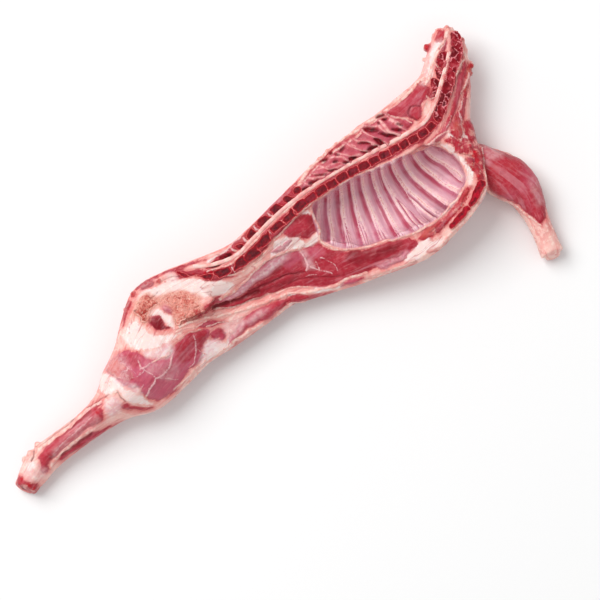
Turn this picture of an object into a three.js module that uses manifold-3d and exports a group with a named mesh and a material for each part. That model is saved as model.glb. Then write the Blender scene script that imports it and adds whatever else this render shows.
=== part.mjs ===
// Raw half lamb carcass: one side of a dressed lamb, sawn down the backbone, lying on its
// outer side with the sawn side up. Millimetres, +Z up, +X from the hock to the neck and
// +Y towards the back. The meat is one solid. The sawn bones that show in it are solids of
// their own, each as deep as half of the real bone, and the meat has a socket round each.
import * as THREE from "three";
import { mergeVertices } from "three/addons/utils/BufferGeometryUtils.js";
import Module from "manifold-3d";

const wasm = await Module();
wasm.setup();

const RING_STEP = 18; // distance between two rings of the meat, away from the ribs
const RINGS_PER_RIB = 4;
const EDGE_RIM = 5; // upright band along the back line and the belly line
const UNDER_ROUND = [0.36, 0.3]; // share of the width in which the outer side turns up
const BOWL_POWER = 3; // the same for the inside of the rib cage
const BOWL_LEAN = 0.82; // under 1 puts the steep wall of the chest beside the backbone
const RIB_RELIEF = 4;
const FIRST_RIB = 1;
const LAST_SEEN_RIB = 12;
const SOCKET_GAP = 0.35;
const CUT_HEIGHT = 104; // half of the carcass's width: the sawn side lies at this height
const NECK_START = 350;
const NECK_FALL = 0.135; // the neck sags by this much for each millimetre
const BONE_PROUD = 1;

// Cross sections from the hock to the neck. Each has its two ends, on the back line and on
// the belly line, as seen from above; the height of both ends; the share of the width that
// each rounded edge takes; and the heights of the sawn side (top) and of the outer side
// (under) at four places across (ACROSS). An outer side lower than 0 is pressed flat there.
// In the chest, bowl is where the rib cage starts and ends across and how high its floor
// lies, and rib is the number of the rib that runs along the section.
const ACROSS = [0.12, 0.37, 0.62, 0.87];
const SECTIONS = [
  { name: "hock end", back: [-574, 122], belly: [-561, 87], ends: [21, 21], round: [0.42, 0.42], top: [38, 42, 42, 37], under: [6, 1, 1, 7] },
  { name: "hock", back: [-545, 136], belly: [-527, 89], ends: [24, 24], round: [0.4, 0.4], top: [44, 51, 50, 43], under: [5, -2, -2, 6] },
  { name: "low shank", back: [-506, 143], belly: [-493, 91], ends: [29, 29], round: [0.4, 0.4], top: [46, 53, 51, 44], under: [12, 6, 6, 13] },
  { name: "high shank", back: [-404, 130], belly: [-399, 77], ends: [37, 36], round: [0.42, 0.42], top: [58, 68, 66, 55], under: [17, 8, 9, 19] },
  { name: "below the stifle", back: [-361, 135], belly: [-351, 63], ends: [45, 42], round: [0.42, 0.45], top: [70, 82, 78, 64], under: [17, 5, 6, 22] },
  { name: "stifle", back: [-326, 153], belly: [-314, 42], ends: [52, 43], round: [0.38, 0.42], top: [82, 94, 90, 72], under: [19, 2, 1, 24] },
  { name: "thigh", back: [-286, 166], belly: [-274, 34], ends: [60, 45], round: [0.3, 0.4], top: [90, 101, 97, 76], under: [22, 0, -3, 25] },
  { name: "rump end", back: [-219, 204], belly: [-188, 34], ends: [76, 44], round: [0.16, 0.36], top: [100, 103, 97, 72], under: [30, -2, -2, 27] },
  { name: "rump", back: [-182, 213], belly: [-148, 25], ends: [92, 42], round: [0.08, 0.3], top: [103, 103, 92, 64], under: [38, 2, 4, 30] },
  { name: "sacrum", back: [-132, 200], belly: [-108, 17], ends: [100, 40], round: [0.05, 0.22], top: [103, 101, 70, 58], under: [46, 12, 10, 30] },
  { name: "hind loin", back: [-31, 156], belly: [-26, 5], ends: [102, 38], round: [0.04, 0.14], top: [103, 96, 62, 55], under: [50, 24, 19, 32] },
  { name: "loin", back: [22, 149], belly: [2, -7], ends: [102, 38], round: [0.04, 0.12], top: [103, 93, 62, 56], under: [51, 26, 18, 30] },
  { name: "last rib", back: [144, 149], belly: [56, -35], ends: [102, 46], round: [0.04, 0.08], top: [103, 88, 70, 60], under: [50, 22, 12, 26], bowl: [0.272, 0.578, 34], rib: 12.7 },
  { name: "ninth rib", back: [214, 147], belly: [129, -71], ends: [102, 60], round: [0.04, 0.06], top: [103, 97, 84, 74], under: [48, 11, 1, 23], bowl: [0.276, 0.756, 27], rib: 9 },
  { name: "sixth rib", back: [255, 142], belly: [208, -105], ends: [102, 74], round: [0.04, 0.05], top: [103, 100, 94, 86], under: [45, 4, -4, 20], bowl: [0.296, 0.763, 24], rib: 6 },
  { name: "fourth rib", back: [284, 139], belly: [273, -107], ends: [102, 90], round: [0.04, 0.05], top: [103, 102, 100, 98], under: [45, 2, -6, 21], bowl: [0.354, 0.832, 26], rib: 4 },
  { name: "second rib", back: [314, 133], belly: [344, -99], ends: [102, 94], round: [0.04, 0.05], top: [103, 103, 101, 99], under: [46, 3, -5, 30], bowl: [0.392, 0.825, 34], rib: 2 },
  { name: "chest inlet", back: [350, 129], belly: [376, -73], ends: [101, 90], round: [0.05, 0.08], top: [102, 102, 100, 97], under: [47, 8, 3, 40], bowl: [0.5, 0.7, 50], rib: 0.7 },
  { name: "neck root", back: [389, 125], belly: [403, -32], ends: [94, 64], round: [0.1, 0.2], top: [98, 98, 91, 78], under: [46, 14, 12, 38] },
  { name: "low neck", back: [415, 126], belly: [426, 12], ends: [84, 56], round: [0.16, 0.25], top: [93, 94, 88, 74], under: [44, 22, 20, 38] },
  { name: "mid neck", back: [450, 144], belly: [469, 55], ends: [70, 56], round: [0.22, 0.25], top: [85, 89, 88, 76], under: [44, 32, 31, 40] },
  { name: "high neck", back: [484, 160], belly: [510, 108], ends: [62, 58], round: [0.25, 0.3], top: [78, 84, 83, 75], under: [46, 38, 38, 44] },
  { name: "neck end", back: [499, 160], belly: [516, 136], ends: [60, 58], round: [0.35, 0.35], top: [74, 79, 78, 72], under: [50, 42, 42, 48] },
];
const DEFAULT_BOWL = [0.3, 0.7, 60];
const RIB_BEHIND = 15; // rib numbers that keep the leg, the loin and the neck out of the bowl
const RIB_BEFORE = -1;

// Foreleg, from its root under the chest down to the sawn end: middle seen from above, half
// of the width, and lowest and highest point.
const FORELEG = [
  { at: [372, -14], half: 27, low: 10, high: 76 },
  { at: [386, -56], half: 33, low: 2, high: 75 },
  { at: [399, -98], half: 39, low: -4, high: 70 },
  { at: [404, -139], half: 33, low: -4, high: 62 },
  { at: [392, -180], half: 22, low: 2, high: 49 },
  { at: [377, -219], half: 19, low: 2, high: 43 },
  { at: [364, -252], half: 21, low: -1, high: 43 },
];
const FORELEG_STEPS = 3;
const FORELEG_SIDES = 18;
const FORELEG_POWER = 2.3;

// Middle line of the sawn backbone, from the sacrum to the second neck bone.
const SPINE = [
  [-118, 180], [-85, 146], [-57, 128], [-24, 116], [20, 116], [75, 116], [138, 109],
  [204, 94], [270, 74], [331, 56], [367, 50], [406, 62], [446, 83], [487, 107], [506, 124],
];
const SPINE_START = 58; // where the hindmost loin bone starts along the middle line
const DISC = 2.4; // cartilage between two bones, part of the meat
const BONE_DEPTH = 14; // half of a backbone's width
const CORD = { offset: 14.5, half: 3.2, depth: 6 };
const BRIDGE_SHARE = 0.4; // part of a bone's length that passes under the cord
const BRIDGE_DEPTH = 4;
const BRIDGE_GAP = 2; // meat between the cord and the bone under it
const LOIN_BONE = { count: 7, long: 29.5, half: 9.5 };
const CHEST_BONE = { count: 13, longest: 22.2, shortest: 17.6, half: 8.6 };
const NECK_BONE = { count: 6, shortest: 19.5, longest: 25, half: 9.5 };
const LOIN_SPINE = { offset: 24.5, back: 11, long: 19, half: 5 };
const CHEST_SPINE = { offset: 20.4, lean: [-0.33, 0.94], half: 2.9, longest: 52, tallest: 4.5, fall: 0.5 };
const NECK_SPINE = { offset: 23, back: 5, long: 13, half: 5 };

const SACRUM = { from: 2, to: 54, half: 5.5 };
const TAIL_BONE = { at: [-148, 194], turn: -48, long: 17, half: 5 };
const BREASTBONE = [[359, -75], [344, -84], [308, -91], [270, -96.5]];
const BREASTBONE_PIECES = 4;
const BREASTBONE_HALF = 6.2;
const BREASTBONE_TOP = 101;

// Outline of the sawn pelvis, round the upper side of the hip's opening.
const AITCH_BONE = [
  [-206, 190], [-190, 196], [-170, 190], [-148, 168], [-126, 148], [-106, 122], [-101, 104],
  [-128, 101], [-152, 110], [-170, 122], [-166, 140], [-176, 158], [-196, 165], [-210, 160],
];
const AITCH_DEPTH = 12;

const END_TILT = 20; // degrees by which the sawn leg ends face up
const HOCK = { at: [-566, 105], along: [-0.94, -0.34], radius: 13.5, height: 21, reach: 22 };
const FORESHANK = { at: [362, -255], along: [-0.4, -0.92], radius: 13, height: 20, reach: 22 };

// ---- small helpers ----

const mix = (a, b, t) => a + (b - a) * t;
const smooth = THREE.MathUtils.smoothstep;

// Catmull-Rom value between entries 1 and 2 of four neighbours.
function spline4(a, b, c, d, t) {
  const m1 = (c - a) / 2;
  const m2 = (d - b) / 2;
  const t2 = t * t;
  const t3 = t2 * t;
  return (2 * t3 - 3 * t2 + 1) * b + (t3 - 2 * t2 + t) * m1 + (3 * t2 - 2 * t3) * c + (t3 - t2) * m2;
}

// A value that runs smoothly through a list, at a place counted in entries.
function along(list, place) {
  const last = list.length - 1;
  const i = Math.min(Math.floor(place), last - 1);
  const at = (k) => list[Math.min(Math.max(k, 0), last)];
  return spline4(at(i - 1), at(i), at(i + 1), at(i + 2), place - i);
}

// A dome over 0 to 1 across, 1 in the middle and 0 at both ends.
const dome = (w, power) => Math.pow(Math.max(0, 1 - Math.pow(Math.abs(2 * w - 1), power)), 1 / power);

const cutHeight = (x) => CUT_HEIGHT - Math.max(0, x - NECK_START) * NECK_FALL;

function solidFrom(geometry) {
  const bare = geometry.clone();
  for (const name of Object.keys(bare.attributes)) if (name !== "position") bare.deleteAttribute(name);
  const merged = mergeVertices(bare, 1e-4);
  return new wasm.Manifold(
    new wasm.Mesh({
      numProp: 3,
      vertProperties: merged.attributes.position.array,
      triVerts: new Uint32Array(merged.index.array),
    }),
  );
}

function geometryFrom(solid) {
  const mesh = solid.getMesh();
  const geometry = new THREE.BufferGeometry();
  geometry.setAttribute("position", new THREE.BufferAttribute(new Float32Array(mesh.vertProperties), 3));
  geometry.setIndex(new THREE.BufferAttribute(new Uint32Array(mesh.triVerts), 1));
  geometry.computeVertexNormals();
  return geometry;
}

// A closed skin over rings of points, with a fan of triangles over each end.
function loft(rings) {
  const points = rings.flat();
  const size = rings[0].length;
  const index = [];
  for (let r = 0; r + 1 < rings.length; r++) {
    for (let k = 0; k < size; k++) {
      const a = r * size + k;
      const b = r * size + ((k + 1) % size);
      index.push(a, b, b + size, a, b + size, a + size);
    }
  }
  for (const [ring, offset, turned] of [[rings[0], 0, true], [rings.at(-1), (rings.length - 1) * size, false]]) {
    const middle = new THREE.Vector3();
    ring.forEach((p) => middle.addScaledVector(p, 1 / size));
    points.push(middle);
    const centre = points.length - 1;
    for (let k = 0; k < size; k++) {
      const a = offset + k;
      const b = offset + ((k + 1) % size);
      index.push(centre, turned ? b : a, turned ? a : b);
    }
  }
  const geometry = new THREE.BufferGeometry().setFromPoints(points);
  geometry.setIndex(index);
  const solid = solidFrom(geometry);
  return solid.volume() > 0 ? solid : solidFrom(turnedRound(geometry));
}

function turnedRound(geometry) {
  const turned = geometry.clone();
  const index = turned.index.array;
  for (let i = 0; i < index.length; i += 3) [index[i + 1], index[i + 2]] = [index[i + 2], index[i + 1]];
  return turned;
}

// An upright prism over an outline seen from above.
function prism(outline, low, high) {
  const shape = new THREE.Shape(outline.map(([x, y]) => new THREE.Vector2(x, y)));
  const geometry = new THREE.ExtrudeGeometry(shape, { depth: high - low, bevelEnabled: false });
  return solidFrom(geometry.translate(0, 0, low));
}

// The same outline pushed out by a distance, corner by corner.
function grown(outline, by) {
  const n = outline.length;
  const area = outline.reduce((sum, [x, y], i) => {
    const [x2, y2] = outline[(i + 1) % n];
    return sum + x * y2 - x2 * y;
  }, 0);
  const side = area > 0 ? 1 : -1;
  return outline.map((p, i) => {
    const before = outline[(i + n - 1) % n];
    const after = outline[(i + 1) % n];
    const d1 = new THREE.Vector2(p[0] - before[0], p[1] - before[1]).normalize();
    const d2 = new THREE.Vector2(after[0] - p[0], after[1] - p[1]).normalize();
    const n1 = new THREE.Vector2(d1.y, -d1.x).multiplyScalar(side);
    const n2 = new THREE.Vector2(d2.y, -d2.x).multiplyScalar(side);
    const corner = n1.clone().add(n2);
    const scale = by / Math.max(0.35, corner.lengthSq() / 2);
    return [p[0] + corner.x * scale, p[1] + corner.y * scale];
  });
}

// Corners of a bar: its middle, the direction that it runs in, half lengths along and across.
function bar(at, direction, halfLong, halfWide) {
  const [tx, ty] = direction;
  const corner = (l, w) => [at[0] + tx * l - ty * w, at[1] + ty * l + tx * w];
  return [corner(-halfLong, -halfWide), corner(halfLong, -halfWide), corner(halfLong, halfWide), corner(-halfLong, halfWide)];
}

// ---- the meat ----

function sectionAt(place) {
  const column = (read) => along(SECTIONS.map(read), place);
  const both = (key) => [0, 1].map((i) => column((s) => s[key][i]));
  const firstRibSection = SECTIONS.findIndex((s) => s.bowl);
  return {
    back: both("back"),
    belly: both("belly"),
    ends: both("ends"),
    round: both("round"),
    top: ACROSS.map((_, i) => column((s) => s.top[i])),
    under: ACROSS.map((_, i) => column((s) => s.under[i])),
    bowl: [0, 1, 2].map((i) => column((s) => (s.bowl ?? DEFAULT_BOWL)[i])),
    rib: column((s) => s.rib ?? (SECTIONS.indexOf(s) < firstRibSection ? RIB_BEHIND : RIB_BEFORE)),
  };
}

// Height at a share of the way across, through four heights and round to both ends.
function acrossSection(heights, ends, round, w) {
  const place = (w - ACROSS[0]) / (ACROSS[1] - ACROSS[0]);
  const face = along(heights, Math.min(Math.max(place, 0), heights.length - 1));
  const near = w < 0.5 ? w / round[0] : (1 - w) / round[1];
  const rise = near < 1 ? Math.sqrt(1 - (1 - near) ** 2) : 1;
  return mix(mix(ends[0], ends[1], w), face, rise);
}

const sawnSide = (section, w) => acrossSection(section.top, section.ends, section.round, w);

// The hollow of the rib cage: how far the wall has fallen, 0 to 1, and the ridge of each rib.
function ribCage(section, w, height) {
  const [from, to, floor] = section.bowl;
  const b = (w - from) / (to - from);
  if (b <= 0 || b >= 1) return height;
  const hindEnd = 1 - smooth(section.rib, LAST_SEEN_RIB - 0.1, LAST_SEEN_RIB + 0.6);
  const foreEnd = smooth(section.rib, FIRST_RIB - 0.4, FIRST_RIB + 0.9);
  const fall = dome(Math.pow(b, BOWL_LEAN), BOWL_POWER) * hindEnd * foreEnd;
  const ridge = Math.pow(0.5 + 0.5 * Math.cos(2 * Math.PI * section.rib), 1.5) * RIB_RELIEF * fall;
  return mix(height, floor, fall) + ridge;
}

function underside(section, w) {
  const ends = section.ends.map((height) => height - EDGE_RIM);
  return Math.max(0, acrossSection(section.under, ends, UNDER_ROUND, w));
}

// Places across the sawn side: closer together at both edges and at the rims of the chest.
function placesAcross([from, to]) {
  const edgeSteps = 4;
  const bowlSteps = 10;
  const crowd = 1.6;
  const places = [];
  for (let i = 0; i < edgeSteps; i++) places.push(from * Math.pow(i / edgeSteps, crowd));
  for (let i = 0; i < bowlSteps; i++) places.push(mix(from, to, (1 - Math.cos((Math.PI * i) / bowlSteps)) / 2));
  for (let i = edgeSteps; i >= 0; i--) places.push(1 - (1 - to) * Math.pow(i / edgeSteps, crowd));
  return places;
}

function meatRing(place) {
  const section = sectionAt(place);
  const at = (w, z) => new THREE.Vector3(mix(section.back[0], section.belly[0], w), mix(section.back[1], section.belly[1], w), z);
  const ring = placesAcross(section.bowl).map((w) => at(w, ribCage(section, w, sawnSide(section, w))));
  const underSteps = 9;
  for (let i = 0; i <= underSteps; i++) {
    const w = (1 + Math.cos((Math.PI * i) / underSteps)) / 2;
    ring.push(at(w, underside(section, w)));
  }
  return ring;
}

function makeTrunk() {
  const rings = [];
  for (let i = 0; i + 1 < SECTIONS.length; i++) {
    const [a, b] = [SECTIONS[i], SECTIONS[i + 1]];
    const middle = (s) => [(s.back[0] + s.belly[0]) / 2, (s.back[1] + s.belly[1]) / 2];
    const [p, q] = [middle(a), middle(b)];
    const steps = a.bowl && b.bowl ? Math.round((a.rib - b.rib) * RINGS_PER_RIB) : Math.ceil(Math.hypot(q[0] - p[0], q[1] - p[1]) / RING_STEP);
    for (let k = 0; k < steps; k++) rings.push(meatRing(i + k / steps));
  }
  rings.push(meatRing(SECTIONS.length - 1 - 1e-9));
  return loft(rings);
}

function makeForeleg() {
  const rings = [];
  const last = FORELEG.length - 1;
  const at = (place) => [0, 1].map((i) => along(FORELEG.map((s) => s.at[i]), place));
  for (let k = 0; k <= last * FORELEG_STEPS; k++) {
    const place = Math.min(k / FORELEG_STEPS, last - 1e-9);
    const [x, y] = at(place);
    const [xa, ya] = at(Math.max(place - 0.1, 0));
    const [xb, yb] = at(Math.min(place + 0.1, last - 1e-9));
    const size = Math.hypot(xb - xa, yb - ya);
    const across = [-(yb - ya) / size, (xb - xa) / size];
    const column = (key) => along(FORELEG.map((s) => s[key]), place);
    const [half, low, high] = [column("half"), column("low"), column("high")];
    const ring = [];
    for (let s = 0; s < FORELEG_SIDES; s++) {
      const turn = (2 * Math.PI * s) / FORELEG_SIDES;
      const bend = (v) => Math.sign(v) * Math.pow(Math.abs(v), 2 / FORELEG_POWER);
      const w = bend(Math.cos(turn)) * half;
      const z = (low + high) / 2 + (bend(Math.sin(turn)) * (high - low)) / 2;
      ring.push(new THREE.Vector3(x + across[0] * w, y + across[1] * w, Math.max(0, z)));
    }
    rings.push(ring);
  }
  return loft(rings);
}

// ---- the bones ----

const spine = new THREE.CatmullRomCurve3(SPINE.map(([x, y]) => new THREE.Vector3(x, y, 0)), false, "centripetal");
spine.arcLengthDivisions = 400;
const spineLength = spine.getLength();

// Point and direction at a length along the backbone, with a shift towards the back.
function onSpine(length, shift = 0) {
  const u = Math.min(Math.max(length / spineLength, 0), 1);
  const p = spine.getPointAt(u);
  const t = spine.getTangentAt(u);
  return { at: [p.x - t.y * shift, p.y + t.x * shift], direction: [t.x, t.y] };
}

// The bones of the backbone in order, each with its size and the bar that is its spine.
function backboneList() {
  const bones = [];
  let start = SPINE_START;
  const add = (name, long, half, spineBar) => {
    bones.push({ name, middle: start + long / 2, long: long - DISC, half, spineBar });
    start += long;
  };
  const two = (n) => String(n).padStart(2, "0");
  for (let n = LOIN_BONE.count; n >= 1; n--) {
    add(`vertebra_L${two(n)}`, LOIN_BONE.long, LOIN_BONE.half, LOIN_SPINE);
  }
  for (let n = CHEST_BONE.count; n >= 1; n--) {
    const long = mix(CHEST_BONE.shortest, CHEST_BONE.longest, (n - 1) / (CHEST_BONE.count - 1));
    const reach = CHEST_SPINE.longest - CHEST_SPINE.fall * (n - CHEST_SPINE.tallest) ** 2;
    add(`vertebra_T${two(n)}`, long, CHEST_BONE.half, { ...CHEST_SPINE, long: reach });
  }
  for (let n = NECK_BONE.count + 1; n >= 2; n--) {
    const long = mix(NECK_BONE.longest, NECK_BONE.shortest, (n - 2) / (NECK_BONE.count - 1));
    add(`vertebra_C${two(n)}`, long, NECK_BONE.half, NECK_SPINE);
  }
  return bones;
}

// Corners of a block that lies along the backbone, shifted towards the back.
function blockOnSpine(length, shift, halfLong, halfWide) {
  const corner = (l, w) => onSpine(length + l, shift + w).at;
  return [corner(-halfLong, -halfWide), corner(halfLong, -halfWide), corner(halfLong, halfWide), corner(-halfLong, halfWide)];
}

// Outline of a bone's spine: a short block beside the cord, or a slanted blade in the chest.
function spineOutline(bone) {
  const s = bone.spineBar;
  if (!s.lean) return blockOnSpine(bone.middle - s.back, s.offset, s.long / 2, s.half);
  const [x, y] = onSpine(bone.middle, s.offset).at;
  return bar([x + (s.lean[0] * s.long) / 2, y + (s.lean[1] * s.long) / 2], s.lean, s.long / 2, s.half);
}

// A bone of the backbone, or its socket in the meat, which is larger and open at the top.
function vertebra(bone, isSocket) {
  const extra = isSocket ? SOCKET_GAP : 0;
  const centre = onSpine(bone.middle);
  const top = cutHeight(centre.at[0]);
  const high = isSocket ? top + 30 : top + BONE_PROUD;
  const low = top - BONE_DEPTH - extra;
  const body = blockOnSpine(bone.middle, 0, bone.long / 2, bone.half);
  const spineBar = spineOutline(bone);
  const reach = bone.spineBar.offset;
  const shift = (bone.spineBar.back ?? 0) / 2;
  const bridge = blockOnSpine(bone.middle - shift, reach / 2, (bone.long * BRIDGE_SHARE) / 2, reach / 2);
  const bridgeTop = top - CORD.depth - BRIDGE_GAP;
  return prism(grown(body, extra), low, high)
    .add(prism(grown(spineBar, extra), low, high))
    .add(prism(grown(bridge, extra), bridgeTop - BRIDGE_DEPTH - extra, bridgeTop + extra));
}

function cord(isSocket) {
  const extra = isSocket ? SOCKET_GAP : 0;
  const steps = 34;
  const [from, to] = [SPINE_START - 30, spineLength - 22];
  const rings = [];
  for (let i = 0; i <= steps; i++) {
    const length = mix(from - extra, to + extra, i / steps);
    const { at: [x, y], direction: [tx, ty] } = onSpine(length, CORD.offset);
    const top = cutHeight(x);
    const half = CORD.half + extra;
    const high = isSocket ? top + 30 : top + 0.4;
    const low = top - CORD.depth - extra;
    rings.push([[-half, low], [half, low], [half, high], [-half, high]].map(([w, z]) => new THREE.Vector3(x - ty * w, y + tx * w, z)));
  }
  return loft(rings);
}

function sacrum(isSocket) {
  const extra = isSocket ? SOCKET_GAP : 0;
  const middle = onSpine((SACRUM.from + SACRUM.to) / 2);
  const outline = bar(middle.at, middle.direction, (SACRUM.to - SACRUM.from) / 2, SACRUM.half);
  const top = cutHeight(middle.at[0]);
  return prism(grown(outline, extra), top - BONE_DEPTH - extra, isSocket ? top + 30 : top + BONE_PROUD);
}

function tailBone(isSocket) {
  const extra = isSocket ? SOCKET_GAP : 0;
  const turn = THREE.MathUtils.degToRad(TAIL_BONE.turn);
  const outline = bar(TAIL_BONE.at, [Math.cos(turn), Math.sin(turn)], TAIL_BONE.long / 2, TAIL_BONE.half);
  return prism(grown(outline, extra), CUT_HEIGHT - BONE_DEPTH - extra, CUT_HEIGHT + (isSocket ? 30 : BONE_PROUD));
}

const breastLine = new THREE.CatmullRomCurve3(BREASTBONE.map(([x, y]) => new THREE.Vector3(x, y, 0)), false, "centripetal");

function breastbonePiece(number, isSocket) {
  const extra = isSocket ? SOCKET_GAP : 0;
  const share = 1 / BREASTBONE_PIECES;
  const middle = breastLine.getPointAt((number - 0.5) * share);
  const t = breastLine.getTangentAt((number - 0.5) * share);
  const long = breastLine.getLength() * share - DISC;
  const outline = bar([middle.x, middle.y], [t.x, t.y], long / 2, BREASTBONE_HALF);
  return prism(grown(outline, extra), BREASTBONE_TOP - BONE_DEPTH - extra, BREASTBONE_TOP + (isSocket ? 30 : BONE_PROUD));
}

function aitchBone(isSocket) {
  const extra = isSocket ? SOCKET_GAP : 0;
  return prism(grown(AITCH_BONE, extra), CUT_HEIGHT - AITCH_DEPTH - extra, CUT_HEIGHT + (isSocket ? 30 : BONE_PROUD));
}

// Everything past the slanted saw cut through a leg's end, moved out by a distance.
function pastTheCut(leg, out) {
  const size = 200;
  const block = new THREE.BoxGeometry(size, size, size).translate(size / 2 + out, 0, 0);
  block.rotateY(THREE.MathUtils.degToRad(-END_TILT));
  block.rotateZ(Math.atan2(leg.along[1], leg.along[0]));
  return solidFrom(block.translate(leg.at[0], leg.at[1], leg.height));
}

// The round bone in the sawn end of a leg: from inside the meat to just past the cut.
function legBone(leg, isSocket) {
  const extra = isSocket ? SOCKET_GAP : 0;
  const length = leg.reach * 2;
  const rod = new THREE.CylinderGeometry(leg.radius + extra, leg.radius + extra, length, 14);
  rod.rotateZ(Math.PI / 2);
  if (isSocket) rod.translate(-extra, 0, 0);
  rod.rotateZ(Math.atan2(leg.along[1], leg.along[0]));
  const whole = solidFrom(rod.translate(leg.at[0], leg.at[1], leg.height));
  return isSocket ? whole : whole.subtract(pastTheCut(leg, BONE_PROUD));
}

// ---- the whole ----

const bones = [];
const addBone = (name, make) => bones.push({ name, solid: make(false), socket: make(true) });
for (const bone of backboneList()) addBone(bone.name, (isSocket) => vertebra(bone, isSocket));
addBone("spinal_cord", cord);
addBone("sacrum", sacrum);
addBone("tail_bone", tailBone);
addBone("aitch_bone", aitchBone);
for (let n = 1; n <= BREASTBONE_PIECES; n++) addBone(`breastbone_${n}`, (isSocket) => breastbonePiece(n, isSocket));
addBone("hock_bone", (isSocket) => legBone(HOCK, isSocket));
addBone("foreshank_bone", (isSocket) => legBone(FORESHANK, isSocket));

let meat = makeTrunk().add(makeForeleg());
meat = meat.subtract(pastTheCut(HOCK, 0)).subtract(pastTheCut(FORESHANK, 0));
for (const bone of bones) meat = meat.subtract(bone.socket);

const finish = (color, roughness) => new THREE.MeshStandardMaterial({ color, roughness, metalness: 0 });
const meatFinish = finish("#c2666a", 0.45);
const marrowFinish = finish("#7d1f28", 0.6);
const cordFinish = finish("#e6b0a6", 0.4);

const carcass = new THREE.Group();
function addMesh(name, solid, material) {
  const mesh = new THREE.Mesh(geometryFrom(solid), material);
  mesh.name = name;
  carcass.add(mesh);
}
addMesh("meat", meat, meatFinish);
for (const bone of bones) addMesh(bone.name, bone.solid, bone.name === "spinal_cord" ? cordFinish : marrowFinish);

// The origin is under the middle of the whole, on the surface that it lies on.
const box = new THREE.Box3().setFromObject(carcass);
const centre = box.getCenter(new THREE.Vector3());
carcass.position.set(-centre.x, -centre.y, -box.min.z);

export default carcass;
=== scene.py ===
"""Looks of a raw half lamb carcass: red muscle, pale fat, glossy linings and sawn bone."""

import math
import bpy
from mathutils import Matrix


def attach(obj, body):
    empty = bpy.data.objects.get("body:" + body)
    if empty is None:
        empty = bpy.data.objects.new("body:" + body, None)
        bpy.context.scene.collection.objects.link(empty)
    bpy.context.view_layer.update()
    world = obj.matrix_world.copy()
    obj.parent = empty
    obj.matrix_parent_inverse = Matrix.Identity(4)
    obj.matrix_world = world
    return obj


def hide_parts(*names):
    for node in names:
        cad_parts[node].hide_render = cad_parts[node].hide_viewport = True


bl_info = {
    "name": "Raw half lamb carcass",
    "version": (1, 0, 0),
    "blender": (4, 5, 0),
    "location": "View3D > Sidebar > Lamb",
    "description": "Dresses the solids of a half lamb carcass with fat, muscle, bone and linings",
    "category": "Object",
}

from functools import partial

import bmesh
import bpy
import numpy as np
from mathutils import Vector

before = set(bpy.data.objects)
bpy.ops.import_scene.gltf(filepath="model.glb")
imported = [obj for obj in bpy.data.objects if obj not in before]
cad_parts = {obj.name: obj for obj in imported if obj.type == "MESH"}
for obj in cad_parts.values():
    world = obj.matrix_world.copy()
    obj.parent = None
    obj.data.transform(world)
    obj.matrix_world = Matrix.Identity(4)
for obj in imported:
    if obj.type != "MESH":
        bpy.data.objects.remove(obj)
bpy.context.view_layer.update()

MM = 0.001  # sizes are in metres
PHOTO_MIDDLE = 300  # pixels from the left and from the top
PIXEL = 1.7 * MM  # real size of a pixel at the sawn side
MIDDLE_AT = (0.029, 0.024867)  # where the middle of the photo lies in the frame
SAWN_HEIGHT = 0.104
NECK_START = 0.379  # from here on the sawn side sinks towards the neck's end
NECK_FALL = 0.135
MOST_TRIANGLES = 195000  # of the meat's skin
FRESHNESS = 1.07  # how much redder the meat is than the hues below
BRIGHTNESS = 1.06
REACH = 14.0  # pixels from an outline beyond which distances aren't worked out
LINE_REACH = 6.0  # the same for lines and slots
HAND_DRAWN = (309, 119)  # left of this pixel, or above it, the sawn bones have outlines of their own
BONE_BED = 5.6  # half width, in pixels, of the meat that shows round the sawn bodies
IN_ROW = 9 * MM  # a sawn body lies at most this far from the course of the bodies
FORELEG_FROM = (484, 134)  # the foreleg lies right of this pixel and below it
BODY_WIDTH = 0.15  # from the back line to the belly line
CAGE_MIDDLE, CAGE_HALF = (390, 200), (75, 50)  # of the rib cage, in pixels
FLOOR_HEIGHT = -0.5 * MM
WORLD_LIGHT = 0.54
LAMP_DISTANCE = 8.0
LAMPS = {  # where from, how large, how bright
    "key": ((-0.1, 1.0, 1.25), 5.0, 480),
    "fill": ((0.3, -1.0, 1.5), 9.0, 50),
}

# Everything below is read from the photo, in its pixels, as flat rows: x to the right,
# y down, and the next x and y.

# The back line and the belly line, place by place from the hock to the neck, in millimetres
# about the photo's middle: along the body, then towards the back.
BODY_LINES = [
    -574,122,-561,87, -545,136,-527,89, -506,143,-493,91, -404,130,-399,77, -361,135,-351,63, -326,153,-314,42,
    -286,166,-274,34, -219,204,-188,34, -182,213,-148,25, -132,200,-108,17, -31,156,-26,5, 22,149,2,-7,
    144,149,56,-35, 214,147,129,-71, 255,142,208,-105, 284,139,273,-107, 314,133,344,-99, 350,129,376,-73,
    389,125,403,-32, 415,126,426,12, 450,144,469,55, 484,160,510,108, 499,160,516,136,
]
FORELEG_LINE = [
    462,150, 485,160, 507,174, 526,190, 538,212, 548,234, 555,252,
]

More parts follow.
